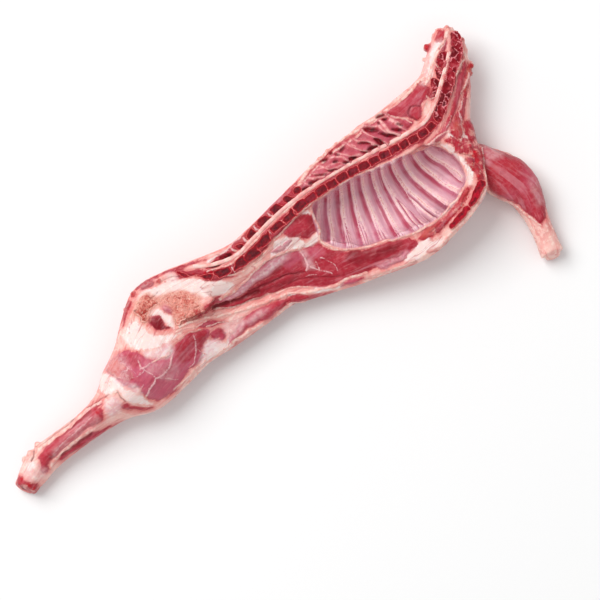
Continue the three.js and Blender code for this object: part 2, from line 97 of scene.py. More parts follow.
# Muscle that shows: how orange it is (0 mauve, 1 orange), how dark, and its outline.
MUSCLES = {
    "thigh": (0.15, 0.05, [105,368, 113,358, 120,352, 128,350.5, 136,352.5, 144,357, 155,360, 163,358, 170,357,
        172,350, 175,345, 182,340, 186,335, 192,332.5, 200,331, 206,330, 209.5,331, 209,336, 206,340, 202.5,343,
        203.5,348, 201,350, 203,356, 199,362, 196,367, 190,369, 186,374, 181,381, 176,388, 170,395, 163,399,
        155,401, 147,398, 141,393, 139,388, 132,389, 124,385, 117,380, 112,375, 108,372]),
    "thigh by the hip": (0.42, 0.22, [176,346, 182,341, 187,336, 193,334, 200,332, 206,333, 205,343, 198,352,
        190,360, 182,362, 176,357]),
    "round thigh": (0.1, 0.15, [143,380, 150,376, 160,376, 169,381, 174,386, 169,394, 160,399, 150,398,
        143,391]),
    "brown thigh": (0.85, -0.1, [103,369, 110,360, 117,356, 124,362, 127,369, 124,376, 118,379, 110,375]),
    "brown thigh core": (0.6, 0.25, [121,372, 126,369, 132,374, 131,379, 124,379]),
    "thigh top": (0.3, 0.3, [118,360, 124,355, 132,354, 139,358, 141,365, 134,367, 125,364]),
    "thigh tip": (0.35, 0.25, [210.5,333, 213.5,329.5, 217,328, 221,329, 224.5,332.5, 226.5,336, 224,340,
        221,341.5, 218.5,340.5, 218,337, 216,339, 213.5,341.5, 211,340, 210.3,336]),
    "shank": (0.5, -0.05, [86,410, 92,404, 99,401, 101,404, 94,409, 99,408, 101,413, 101,420, 95,425, 88,428,
        80,434, 72,442, 64,449, 56,457, 50,462, 46,468, 45,473, 40,474, 38,468, 38,461, 36,457, 42,450, 52,441,
        62,433, 72,424, 80,416]),
    "shank streak": (0.45, 0.4, [79,417, 88,411, 90,414, 78,424, 66,433, 54,443, 50,444, 62,433]),
    "shank spot": (0.5, 0.55, [47,457, 51,453, 54,455, 52,460, 48,461]),
    "shank edge": (0.35, 0.12, [57,461, 62,455, 70,449, 78,443, 86,437, 93,433, 100,431, 107,428, 115,425,
        121,423, 112,428, 102,434, 92,441, 84,447, 76,452, 66,459, 60,463]),
    "knee": (0.4, 0.1, [120,407, 125,404, 130,406, 138,408, 148,409, 152,409, 143,411, 132,411.5, 124,410.5]),
    "hock end": (0.6, 0.15, [12,487, 14,480, 19,479, 22,483, 28,485, 36,488, 33,495, 25,495, 17,491]),
    "rump edge": (0.5, 0.25, [135.5,287.5, 144,280.5, 152,276, 162,271, 174,267.5, 186,264, 196,260.5,
        205,257.5, 205.5,260, 197,263, 186,266.5, 174,270.5, 163,274, 153,279, 146,284, 137.5,289.5]),
    "sacrum bed": (0.5, 0.25, [174,270, 180,269, 188,271, 196,271, 204,269, 214,268, 218,266, 214,274, 212,279,
        204,278, 196,276, 188,278, 180,277]),
    "rump blot": (0.5, 0.2, [140,288, 145,284, 151,281, 154,283, 149,287, 143,290]),
    "rump knob": (0.75, 0.05, [128.5,294, 131,291, 134.5,291.5, 136,294, 133,297, 129.5,297]),
    "rump side": (0.7, 0.0, [125,305, 128,301, 130.5,303, 129,308, 126.5,314, 124.5,321, 123,326, 123,316]),
    "hip opening": (0.4, 0.62, [148.9,319.4, 152.2,316.7, 158.9,316.1, 161.7,318.3, 163.9,322.8, 164.4,325.6,
        168.9,327, 172.2,327.8, 168.9,328.9, 164.4,329.4, 158.9,330.6, 155.6,328.3, 152.2,325.6, 149.8,322.8]),
    "hip lining": (0.2, 0.1, [162.8,305.6, 166.7,304.8, 170.6,306.3, 173.3,308.9, 173.1,312.2, 171.1,314.4,
        167.8,313.3, 164.4,311.1, 162.2,308.9]),
    "by the pelvis": (0.75, 0.4, [183,320, 190,315, 200,309, 210,304, 217,298, 222,298, 216,305, 210,311,
        200,317, 192,321, 186,323]),
    "fillet": (0.15, 0.0, [214,304, 224,298, 232,292, 242,282, 250,276, 262,265, 275,258, 290,252, 300,250,
        296,262, 284,268, 272,275, 262,281, 250,289, 238,297, 225,303]),
    "flank": (0.5, 0.3, [207,313, 216,306, 225,303, 238,297, 250,289, 262,281, 272,274, 280,263, 290,255,
        300,250, 312,247, 320,243, 328,248, 340,251, 355,251, 370,249, 384,244, 400,240, 412,238, 418,243,
        413,250, 404,256, 396,261, 384,266, 372,270, 358,275, 345,280, 334,284, 320,286, 305,286, 291,287,
        282,290, 270,294, 258,298, 245,303, 230,307, 216,310]),
    "flank mauve": (0.28, 0.0, [280,262, 286,254, 296,251, 312,247, 320,245, 326,252, 318,257, 306,256, 296,262,
        286,268]),
    # Painted shade: the deep groove is drawn as dark muscle.
    "flank groove": (0.5, 0.45, [212,309, 222,303, 240,298, 256,291, 270,285, 284,279, 296,274, 306,273,
        296,279, 280,286, 262,292, 246,298, 230,304]),
    "flank hind": (0.5, 0.5, [350,252, 372,250, 392,245, 404,243, 396,251, 384,256, 372,262, 356,264, 346,260]),
    "flank pink": (0.15, 0.0, [378,266, 392,259, 404,252, 412,251, 406,258, 396,264, 384,269]),
    "pillar": (0.5, 0.1, [284,233, 290,224, 298,218, 305,215, 311,214, 315,220, 317,228, 313,234, 308,238,
        303,238, 298,236, 288,237]),
    "pillar core": (0.5, 0.35, [305,218, 311,216, 315,224, 312,231, 306,237, 303,233, 308,226]),
    "under kidney": (0.1, 0.0, [270,252.5, 274,247.5, 279,245, 284,246, 285,249, 279,251.5]),
    "kidney spot": (0.1, 0.05, [282,244, 286,240.5, 291.5,240, 289,244, 285,246.5]),
    "belly strip": (0.5, 0.15, [283,301, 290,296, 300,295, 312,295, 322,294, 334,291, 320,298, 306,302, 298,305,
        290,303]),
    "belly strip 2": (0.3, 0.0, [341,286, 347,281, 356,278, 364,277.5, 359,282, 350,286]),
    "groin": (0.3, 0.0, [236,330, 242,319, 250,312, 262,307, 272,302, 280,299, 286,300, 282,306, 277,311,
        270,317, 260,322, 250,327, 240,333]),
    "groin dark": (0.4, 0.4, [272,314, 279,308, 284,301, 288,299, 285,306, 278,311]),
    "groin low": (0.3, 0.0, [226,346, 232,336, 238,330, 246,328, 240,336, 232,343]),
    "pelvic streak": (0.3, 0.0, [197,325, 205,322, 215,321, 225,322, 216,325, 205,327]),
    "loin back": (0.6, 0.15, [205,268, 212,261, 220,255.5, 228,250, 236,242, 244,234, 251,226, 259,217, 267,208,
        275,200, 283,193, 291,187, 300,182, 304,188, 297,196, 288,204, 280,212, 272,220, 264,227, 256,235,
        248,242, 240,249, 230,257, 220,264, 210,269]),
    "loin edge": (0.65, 0.25, [250,227, 258,217, 266,208, 274,199.5, 282,192, 291,184.5, 300,177, 301,180,
        292,188, 283,195, 275,203, 267,211, 259,220, 252,228]),
    "blade bed": (0.3, 0.25, [297,190, 303,181, 312,171, 322,162, 334,151, 346,143, 358,134, 370,125, 382,118,
        392,119, 404,119, 414,121, 407,130, 396,137, 384,144, 372,152, 358,160, 344,168, 330,176, 318,183,
        306,190]),
    "back stripe": (0.65, 0.2, [298,183, 306,174, 318,162, 328,152, 338,145, 352,136, 360,130, 359,132, 348,140,
        337,148, 328,156, 317,166, 306,178]),
    "neck root": (0.4, 0.1, [384,113, 391,107, 403,100, 412,91, 422,84, 427,85, 430,90, 428,97, 424,101,
        421,107, 420,119, 414,118, 406,117, 396,116]),
    "neck root slab": (0.45, 0.0, [411,108, 418,107, 421,111, 420,119, 413,117, 410,112]),
    "neck strip": (0.38, 0.12, [415,152, 424,145, 434,138, 443,129, 449,118, 453,106, 456,92, 460,78, 463,66,
        466,60, 468,66, 466,78, 464,88, 461,96, 458,108, 453,122, 447,133, 438,142, 427,149]),
    "neck edge": (0.85, 0.0, [470,60, 474,64, 475,70, 471,76, 470,86, 467,94, 464,90, 466,78, 468,68]),
    "neck front": (0.5, 0.1, [455,122, 459,108, 463,96, 467,92, 467,104, 466,114, 462,124, 458,132]),
    "neck bones": (0.4, 0.4, [451,36, 456,31, 462,36, 464,46, 463,56, 459,64, 458,76, 453,88, 449,102, 445,112,
        440,122, 434,132, 424,140, 414,146, 404,150, 396,154, 404,142, 416,132, 426,122, 434,112, 438,100,
        443,88, 448,72, 451,56]),
    "neck spines": (0.4, 0.35, [437,62, 443,52, 448,52, 449,58, 444,70, 441,84, 437,94, 433,100, 430,96, 434,84,
        438,74]),
    "neck slot": (0.4, 0.5, [445.5,38, 447,42, 445.5,50, 440.5,50.5, 442.5,44]),
    "neck top": (0.6, 0.05, [436,36, 440,29, 446,30, 444,38, 438,41]),
    "neck knob": (0.65, 0.2, [424,46, 427,41, 431,44, 429,49, 425,50]),
    "shoulder lump": (0.55, 0.1, [465,121, 469,119, 475,120, 479,124, 480,131, 478,138, 472,140, 467,137,
        463,130]),
    "shoulder lump edge": (0.4, 0.6, [475,121, 479,124, 480,131, 477,130, 475,126]),
    "shoulder skin": (0.7, 0.0, [452,124, 458,121, 464,126, 464,134, 460,139, 454,136, 451,130]),
    "inlet": (0.6, 0.15, [473,146, 479,144, 485,150, 486,160, 484,170, 480,166, 477,160, 474,153]),
    "inlet mauve": (0.1, 0.45, [467,157, 471,155, 475,157, 476,161, 473,164, 469,162]),
    "inlet blotch": (0.6, 0.1, [444,141, 449,136, 455,138, 462,141, 463,145, 456,146, 449,143]),
    "inlet blotch 2": (0.65, 0.15, [455,147, 460,145.5, 466,147, 470,150, 468,153, 462,152, 457,151]),
    "inlet blotch 3": (0.5, 0.4, [463,142, 466,141, 468,143, 466,145]),
    "inlet blotch 4": (0.6, 0.2, [468,159, 472,160, 475,165, 474,170, 470,166]),
    "neck side red": (0.6, 0.0, [462,138, 468,138, 474,141, 474,147, 467,149, 462,146]),
    "breast side": (0.6, 0.2, [475,162, 479,166, 482,172, 484,178, 478,180, 475,176, 474,168]),
    "foreleg": (0.4, 0.25, [482,134, 490,141, 499,147, 513,153, 527,153, 540,170, 550,200, 545,222, 532,214,
        518,203, 508,198, 496,193, 490,186, 487,172, 483,160, 481,146]),
    "foreleg round": (0.55, 0.0, [491,165, 498,159, 510,158, 521,162, 521,170, 516,180, 508,191, 499,193,
        493,187, 490.5,175]),
    "foreleg long": (0.35, 0.05, [525,165, 533,168, 541,184, 546,203, 544,217, 536,212, 528,200, 522,190,
        520,178]),
    "foreleg pale": (0.3, 0.0, [484,148, 491,150, 503,155, 498,159, 491,163, 487,168, 485,158]),
    "breast strip": (0.75, 0.1, [418,238, 424,230, 433,224, 443,217, 452,209, 459,199, 464,190, 468,187,
        470,193, 466,201, 459,211, 452,219, 445,226, 437,233, 428,238]),
    "breast strip dark": (0.6, 0.5, [434,229, 440,223, 446,220, 450,221, 445,228, 438,234]),
}

MUSCLES["bone bed"] = (0.5, 0.3, lambda u, v: BONE_BED - distance_to_line(u, v, smooth_line(BODY_COURSE)))

# White, dry fat, paler than the cream fat round it.
WHITE_FAT = {
    "pelvis": [139,296, 145,290, 155,288, 165,283, 180,280, 195,279, 210,281, 225,281, 233,283, 229,290,
        220,297, 210,297, 202,298, 190,293, 180,291, 165,293, 158,296, 146,294],
    "spines 1": [281,199, 283.1,201.3, 284.4,203.8, 287,204.4, 282.5,205.6, 279.5,203.8],
    "spines 2": [289,193, 292,191.5, 293,194.5, 297,195.5, 292,196.5, 288,195.5],
    "spines 3": [253,228, 257.5,226.6, 262.5,228, 259.4,230, 255,230.6],
    "spines 4": [241,240, 246,240, 249,243, 244,244, 239,243],
    "loin edge": [206,261, 214,256, 224,251, 234,243, 243,234, 240,242, 230,250, 220,256.5, 210,262],
    "kidney": [273,245, 280,240, 286,236, 290,238, 298,237, 303,241, 308,241, 313,236, 317,231, 318,240,
        312,246, 304,248, 296,250, 290,249, 280,252, 270,257],
    "node": [304,213, 308,211, 311,213, 308,217, 303,219],
    "chest front": [441,143.5, 447,143.5, 452,146, 457,149, 459,155, 464,158, 467,164, 471,168, 473,174,
        472,182, 469,186, 467,180, 467.5,172, 463,165, 458,159, 451,153, 446,147.5],
    "chest lump": [465,141, 469,140, 473,143, 471,147, 466,146],
    "brisket": [427,234, 432,240, 440,238, 446,240, 440,245, 430,250, 425,256, 415,262, 406,261, 404,256,
        413,252, 418,243, 424,238],
    "belly knot": [286,294, 291,291, 297,293, 295,297, 289,297],
    "belly pad": [311,291, 318,287, 326,287, 334,288, 340,285, 348,282, 344,286, 334,290, 322,293],
    "thigh side": [204,346, 210,342, 222,343, 230,340, 232,346, 220,354, 208,364, 200,368, 200,362, 205,356],
    "hip ring": [149,315, 153,310, 160,310, 165,314, 172,315, 175,321, 174,328, 169,327, 164,322, 158,316,
        152,316],
    "knee": [108,385, 116,383, 124,389, 134,393, 143,399, 152,404, 150,406, 136,404, 125,400, 118,392],
    "knee side": [98,378, 103,374, 110,376, 118,383, 116,390, 108,396, 100,392],
    "shoulder 1": [460,133, 465,130, 469,134, 470,140, 465,142, 460,139],
    "shoulder 2": [447,133, 452,131, 455,134, 452,137, 447,137],
    "rump": [128,325, 138,322, 150,333, 165,336, 178,335, 168,342, 155,348, 140,349, 128,344, 122,336],
    "hock": [22,466, 27,462, 31,464, 31,470, 26,473],
    "neck side": [430,56, 434,46, 438,39, 442,38, 441,46, 437,53, 434,62, 431,74, 428,74],
}

# Silverskin: a thin whitish film over the muscle, and how thick it is.
FILMS = {
    "thigh": (1.0, [144,353, 152,351, 160,349, 166,344, 173,346, 172,356, 165,358, 152,359, 146,357]),
    "thigh side": (0.9, [198,366, 202,352, 206,344, 214,341, 222,343, 210,354]),
    "thigh low": (0.7, [112,374, 122,381, 133,384, 140,388, 142,396, 134,392, 122,388, 112,382]),
    "thigh middle": (0.25, [146,362, 160,362, 172,362, 178,370, 170,380, 156,376, 146,372]),
    "fillet": (0.75, [224,301, 234,292, 245,283, 255,275, 268,264, 280,256, 292,251, 284,259, 276,267, 264,276,
        252,284, 240,293]),
    "flank": (0.4, [299,249, 304,249, 308,256, 313,262, 316,268, 309,268, 304,262, 301,255]),
    "flank low": (0.45, [378,266, 392,259, 404,253, 410,254, 400,261, 388,268]),
    "groin": (0.55, [222,325, 230,319, 240,316, 246,321, 240,332, 230,342, 226,336]),
    "brown thigh": (0.4, [101,369, 109,358, 118,354, 127,360, 131,370, 129,380, 118,382, 107,377]),
    "groin side": (0.45, [244,322, 256,312, 268,308, 262,316, 250,324]),
    "foreleg": (0.3, [484,142, 494,148, 504,153, 503,157, 495,160, 488,165, 485,156]),
    "foreleg low": (0.25, [534,176, 541,186, 545,200, 540,204, 534,192, 530,182]),
    "foreleg web": (1.0, [484,190, 492,192, 501,197, 506,202, 498,206, 488,206, 480,212, 478,204]),
    "neck strip": (0.12, [418,152, 430,142, 440,136, 448,126, 452,120, 452,128, 446,138, 434,147, 424,153]),
    "shank": (0.3, [50,452, 60,440, 72,430, 84,419, 94,416, 98,423, 86,431, 74,441, 62,452, 52,460]),
    "hock": (0.4, [20,474, 28,464, 40,468, 44,474, 36,484, 24,482]),
    "hip lining": (0.25, [161,306, 166,303, 172,306, 175,312, 170,316, 164,312]),
    "neck side": (0.5, [428,52, 436,40, 441,38, 441,46, 436,60, 432,76, 426,86, 420,84, 424,70]),
    "kidney": (0.45, [268,253, 274,246, 284,239, 293,239, 288,247, 280,252]),
    "rump": (0.7, [166,275, 172,272, 178,276, 176,280, 168,281]),
    "rump edge": (0.3, [139,288, 146,281, 154,278, 155,281, 150,286, 142,291]),
    "knee": (0.85, [104,404, 110,398, 116,398, 121,403, 118,411, 111,417, 105,412]),
}

# Pale lines: half width in pixels, how far they stand up in millimetres, and their course.
PALE_LINES = {
    "belly ridge": (1.3, 2.0, [176,328, 186,323, 200,319, 215,316.5, 230,313, 250,307, 265,302, 275,298,
        285,294.5, 291,293, 300,293, 312,291, 320,289, 335,285, 345,280, 356,275.5, 366,273]),
    "belly ridge 2": (0.8, 1.2, [214,309.5, 230,307, 245,303, 258,298, 270,294.5, 282,290.5, 291,287, 305,286,
        313,288]),
    "belly edge": (1.5, 1.2, [186,385, 200,370, 214,358, 228,346, 240,337, 250,330, 262,325, 272,319, 280,312,
        286,307, 292,304]),
    "belly edge 2": (0.9, 0.8, [292,304, 306,302, 320,298, 335,293.5, 350,289, 360,284, 368,280, 385,273,
        400,266, 415,261]),
    "diaphragm": (1.0, 1.6, [311,208, 315,218, 318,230, 321,239, 328,246, 338,250, 355,249, 370,246, 380,241.5,
        390,240, 400,238, 410,235, 420,230, 430,225, 440,217, 450,207, 458,197, 464,188]),
    "chest top": (0.8, 0.8, [302,211.5, 310,205.5, 319,199, 331,190.5, 343,182.5, 360,174, 380,165, 395,158.5,
        411,151.5]),
    "chest top front": (0.8, 1.4, [407,154, 418,150, 427,146, 437.5,137, 444,132.5, 450,130.5]),
    "chest front edge": (0.9, 1.4, [411,151.5, 424,147.5, 437,143.5, 444,146.5, 452,152.5]),
    "breast edge": (1.4, 1.8, [485,170, 487,184, 482,197, 474,210, 466,219, 457,227, 448,237, 440,245]),
    "under spine": (0.8, 0.8, [222,276, 233,274, 246,269, 258,259, 266,250, 275,239, 285,228, 298,216,
        305,211]),
    "fillet edge": (1.2, 1.6, [220,300, 235,289, 250,276, 262,264, 275,256.5, 290,250.5, 302,248.5]),
    "back edge": (1.5, 0.6, [298,183, 308,170, 320,158, 330,148, 342,139, 356,130, 370,121, 384,112, 400,101,
        412,88, 424,78]),
    "cord edge": (1.0, 0.8, [206,271, 220,267.5, 232,263, 242,254, 252,244, 262,231, 272,221, 286,210,
        300,198]),
    "disc 1": (0.45, 0.2, [294.5,207.5, 297.5,211.5]),
    "disc 2": (0.45, 0.2, [282,220, 285.5,223]),
    "disc 3": (0.45, 0.2, [268.5,231, 272,234]),
    "disc 4": (0.45, 0.2, [255.5,246, 260,250]),
    "disc 5": (0.45, 0.2, [243.5,257.5, 248.5,263]),
    "disc 6": (0.8, 0.2, [232,267, 234.5,271]),
    "spine gap 1": (0.8, 0.4, [254.5,226, 257,229, 261,229.5]),
    "spine gap 2": (0.8, 0.4, [267.5,213, 270,215.5, 275,216]),
    "spine gap 3": (0.9, 0.4, [243.5,237.5, 246.5,241.5, 250,241]),
    "spine gap 4": (0.8, 0.4, [231,248.5, 234,251, 238,251.5]),
    "back line": (0.9, 0.9, [296,186, 304,180, 314,170, 326,160, 338,149, 350,141, 362,131, 374,122, 384,114]),
    "thigh vein 1": (0.4, 0.4, [120,362.5, 124,364, 127,367, 126.5,371, 121.7,371.7]),
    "thigh vein 1b": (0.4, 0.4, [127.5,368.3, 132,369, 135,373]),
    "thigh vein 1c": (0.5, 0.5, [131,377, 137,376.5, 140.5,371.5]),
    "thigh vein 1d": (0.4, 0.4, [114,376, 120,378, 127,378.5]),
    "thigh vein 2": (0.7, 0.7, [138,361, 141,367, 144,370, 150,374, 155,378]),
    "thigh vein 3": (0.7, 0.7, [140,370, 148,365.5, 157,360, 165,356, 170,352]),
    "thigh vein 4": (0.8, 0.7, [155,378, 162,373, 168,367, 170,362, 172,356]),
    "thigh vein 5": (0.85, 0.7, [155,378, 154,383, 150,388, 147,395, 144,400]),
    "thigh vein 6": (0.6, 0.6, [193,335, 194,342, 195,350, 194,356, 193,363, 189,368]),
    "thigh vein 7": (0.4, 0.5, [155,378, 163,377, 170,378, 177,379]),
    "thigh vein 8": (0.5, 0.5, [143,384, 141,389, 139,394]),
    "thigh vein 9": (0.4, 0.5, [195,348, 202,353, 206,356]),
    "thigh vein 10": (0.4, 0.4, [136,376, 142,374, 144,370]),
    "thigh edge": (0.9, 0.8, [172,390, 180,384, 188,377, 196,369, 205,361]),
    "shank tendon 1": (1.6, 1.8, [100,402, 90,408, 78,418.5, 66,428.5, 55,437.5, 45,445, 37,450, 32,453]),
    "shank tendon 2": (1.2, 1.6, [94,428.5, 84,434, 76,440, 66,448.5, 58,456, 52,462, 47,470]),
    "shank tendon 3": (0.4, 0.4, [90,418, 80,427, 70,436, 60,446, 54,453]),
    "shank edge": (1.0, 0.7, [96,398, 86,404, 74,415, 62,425, 50,434, 38,443, 33,446]),
    "flank streak 1": (0.7, 0.4, [298.8,246.3, 301.3,252.5, 305,260, 307.5,265, 306.3,270]),
    "flank streak 1b": (0.5, 0.4, [306.3,262, 311.3,266.8, 317.5,268.3, 327.5,271.3, 331.3,272.5]),
    "flank streak 2": (0.35, 0.3, [320,256.3, 325,257.5, 332.5,262.5, 336.3,266.3, 337.5,270]),
    "flank streak 4": (0.35, 0.3, [313.8,259.5, 318,263, 320,267.5]),
    "flank streak 5": (0.3, 0.2, [304,277, 314,274, 322,276]),
    "foreleg seam": (0.9, 0.6, [483,134, 492,141, 502,147, 514,152, 526,153]),
    "foreleg web": (1.0, 0.6, [487,186, 494,194, 504,199, 516,204, 530,214, 542,224]),
    "neck seam 1": (0.7, 1.0, [470,72, 467,82, 464,89, 461,92, 463,98, 461,106, 460,112, 462,120]),
    "neck seam 2": (1.6, 1.0, [449,27, 447,33, 445,38, 441,46, 436,56, 433,64, 429,76, 425,84]),
    "neck seam 3": (0.7, 0.7, [386,113, 396,117, 406,119, 412,122]),
    "neck seam 4": (0.9, 0.8, [463,36, 464,46, 466,56, 463,60, 460,66, 458,76]),
    "neck seam 5": (0.6, 0.6, [427,96, 431,99, 436,97]),
    "neck seam 6": (0.5, 0.5, [436,63, 440,70, 439,76]),
    "neck seam 7": (0.5, 0.5, [448,84, 452,88, 452,92]),
    "neck seam 8": (0.6, 0.5, [441,100, 446,102, 449,105]),
    "neck seam 9": (0.6, 0.6, [461,140, 464,132, 462,124, 460,116]),
    "neck seam 10": (0.5, 0.5, [452,116, 451,122, 447,128]),
    "neck under": (0.9, 0.8, [404,155, 414,151, 424,146, 432,143, 440,141]),
    "knee fold": (0.7, 1.0, [113,393, 117,393, 121,397, 127,401, 136,405, 148,407]),
    "hip streak 1": (0.6, 0.5, [174,333, 184,329, 196,326, 206,321]),
    "hip streak 2": (0.5, 0.4, [178,340, 188,333, 200,329]),
    "groin streak": (0.6, 0.4, [206,327, 216,323, 230,321, 242,316, 252,311]),
    "inlet line": (0.6, 0.6, [483,146, 484,156, 485,168]),
}

# Creases: half width in pixels, depth in millimetres, and their course. The meat in them is painted dark red:
# painted shade.
CREASES = {
    "loin groove": (1.5, 5.0, [213,308.5, 222,305, 232,301.5, 242,298, 250,294, 258,291]),
    "loin fold": (0.7, 3.0, [248,292, 262,286, 272,281, 282,277, 292,274, 304,272]),
    "loin fold 2": (0.5, 1.5, [288,284, 300,279, 318,277, 340,276]),
    "loin fold 3": (0.4, 1.5, [222,309, 240,304, 256,299, 270,294, 284,288]),
    "belly fold": (0.6, 1.5, [286,299, 290,295, 292,298]),
    "knee": (0.5, 1.5, [116,392, 120,397, 125,401]),
    "shin": (0.4, 0.8, [86,409, 95,402, 103,398, 108,395]),
    "hock": (1.0, 3.0, [30,452, 29,457, 27,461]),
    "shank line": (0.5, 1.0, [74,417, 66,424, 56,433, 46,441, 37,448]),
    "shank line 2": (0.6, 1.5, [90,435, 80,442, 70,450, 60,458]),
    "neck crack": (0.7, 2.5, [411,107, 409,111, 409,114, 413,117, 419,120]),
    "neck crack 2": (0.6, 1.5, [411,107, 416,106, 421,107]),
    "pelvis crack": (0.6, 1.5, [145,298, 149,297, 153,298]),
    "pelvis line 1": (0.35, 0.6, [153,297, 156,295, 158,292]),
    "sacrum line": (0.5, 1.0, [160,283, 172,277, 184,275, 196,276, 206,274]),
    "breast crack": (0.6, 1.5, [430,232, 436,227, 442,222]),
    "breast crack 2": (0.5, 1.2, [461,205, 464,198, 469,192]),
    "flank crack": (0.4, 1.0, [378,252, 388,249, 396,246]),
    "flank crack 2": (0.4, 1.0, [376,262, 386,259, 396,257, 404,253]),
    "throat": (0.5, 1.2, [452,96, 456,84, 461,72, 463,62]),
    "chest slit": (0.5, 0.8, [460,153, 466,153.5, 473,154.5]),
    "neck slit": (0.4, 0.8, [440,48, 443,43, 446,38]),
}

# The middle of the sawn backbone, from the neck to the sacrum.
BODY_COURSE = [
    458,38, 456,53, 454,66, 451,79, 447,93, 442,107, 436,117, 430,125, 422,131.5, 413,138, 404,144, 395,150,
    385,155, 375,160, 366,165, 355,171, 345,177, 333,183, 322,190, 311,198, 301,207, 289,217, 277,228, 266,239,
    252,253, 240,264, 223,273, 206,276,
]

# Slots between and in the sawn spines: dark and sunk; two ends and half width, in pixels.
SLOTS = [
    363,128.5,379,130.5,1.7, 378,133,397,137,1.9, 373,138.5,387,146,2.7, 357,142,370,144.7,1.5,
    366,150,378,147,2.2, 360,151.8,369,153,1.3, 348,158.5,358,158,1.8, 340,151,346,147,1.2,
    328.5,153.5,333,153.5,1.5, 335,154.3,340,154.5,1.3, 321,161,328,158.5,1.4, 328,170.3,337,169,1.3,
    314,175.5,327,174.5,1.2, 307,183.5,320,181,1.6, 299,189.5,310,186.5,1.5, 375,117.5,385,113.5,1.6,
    382,120.5,388,118.5,1.4, 392,129,403,131,1.7, 377,123,380,125,1.4, 333,162,339,162,1.3,
    343,163.8,350,161.5,1.4, 396,123.5,404,125,1.1, 220,259,232,254.5,3.0, 208,267,222,261.5,2.4,
]

# Slats of bone and gristle beside them, pale and raised: half width in pixels, height in
# millimetres, course.
SLATS = {
    "1": (1.7, 2.2, [380,121, 384,126, 389,131, 395,134.5, 400,136]),
    "1b": (1.2, 1.6, [377,125, 382,129, 388,133.5]),
    "2": (1.3, 2.2, [363,129.5, 368,134, 374,137.5, 380,140, 388,143.5]),
    "3": (1.4, 2.2, [353,138.5, 359,141, 367,142.5, 374,145.5, 379,147.5]),
    "4": (1.5, 2.2, [350,146, 356,149, 363,150.8, 370,151]),
    "5": (1.2, 2.0, [338,153, 346,155.3, 354,156.3, 361,155.5]),
    "6": (1.1, 1.8, [329,158.5, 337,157, 343,158.5, 350,162.5]),
    "7": (1.2, 1.8, [321,166, 328,168.5, 334,168.2, 342,166.5]),
    "8": (1.2, 1.8, [312,173, 318,174.5, 323,174.8, 329,172.5]),
    "9": (1.2, 1.6, [307,177, 312,179, 318,178, 324,177]),
    "10": (0.8, 1.4, [384,112.7, 389,116.7, 395,120.7, 401,127, 407,131]),
    "11": (2.0, 1.6, [391,119, 396,122, 401,126]),
    "12": (0.9, 1.2, [344,142.5, 350,144.5, 356,146]),
    "13": (0.9, 1.2, [332,164, 340,163, 346,165]),
    "14": (1.0, 1.4, [366,126, 372,128, 377,127]),
    "15": (0.8, 1.2, [317,169, 323,168, 330,165]),
    "16": (0.8, 1.2, [303,182, 308,184, 314,182]),
}

# Fresh blood and torn red meat: pixel and radius.
RED_SPOTS = [
    131,294,2.6, 159,282,2.2, 147,297,2.0, 142,307,1.2, 427,45,3.0, 440,29,2.4, 449,26,1.6, 458,29,2.4,
    463,38,1.6, 473,64,3.2, 474,69,2.0, 475,153,3.2, 470,150,1.6, 479,160,2.0, 473,168,1.4, 477,176,2.2,
    458,152,1.0, 454.3,147.3,1.0, 455,151.3,0.9, 466.3,163.3,1.2, 472.3,163.5,1.3, 459.7,142.7,1.2,
    449.7,136,1.0, 450.3,132,1.1, 483,155,2.6, 457,141,1.2, 446,142,1.0, 478,160,2.0, 19,481,1.8, 16,487,2.2,
    26,487,2.0, 31,490,2.0, 123,333,0.7, 123,337,0.7, 117,343,0.5, 129,333,0.6, 131,343,0.6, 148,325,0.7,
    138,325,1.1, 143,328,0.7, 105,383,0.6, 117,408,0.6, 106,398,1.0, 158.5,281.5,3.2, 165,282,1.3,
    204,272.5,2.2, 210,272.5,2.4, 194,275,1.4, 226,282,0.6, 306,214,0.9, 452,208,0.9, 463,205,1.0, 470,186,1.2,
    466,193,1.0, 50,456,1.6, 96,413,1.6, 424,90,1.0, 418,84,0.8, 445,76,1.0, 421,82,0.9,
]

# Places where the knife has left torn scraps of red meat and fat.
SCRAPS = [
    [441,141, 448,133, 456,126, 464,124, 472,128, 480,136, 484,146, 486,158, 485,172, 480,180, 474,182, 470,172,
     464,162, 456,152, 448,146],
    [428,238, 436,226, 446,217, 456,206, 463,194, 468,186, 473,186, 472,194, 466,203, 459,212, 450,222, 440,232,
     432,242],
    [466,58, 472,60, 476,66, 474,76, 472,88, 469,98, 465,94, 466,82, 466,70],
    [436,34, 442,27, 452,25, 460,28, 464,36, 456,34, 448,32, 442,38],
    [12,486, 16,478, 24,482, 34,486, 36,492, 30,497, 20,496],
    [127,295, 131,290, 140,285, 150,279, 156,279, 152,284, 142,290, 134,297, 130,306, 126,312],
    [176,318, 184,314, 194,309, 204,304, 212,306, 206,312, 196,317, 186,322, 178,326],
]

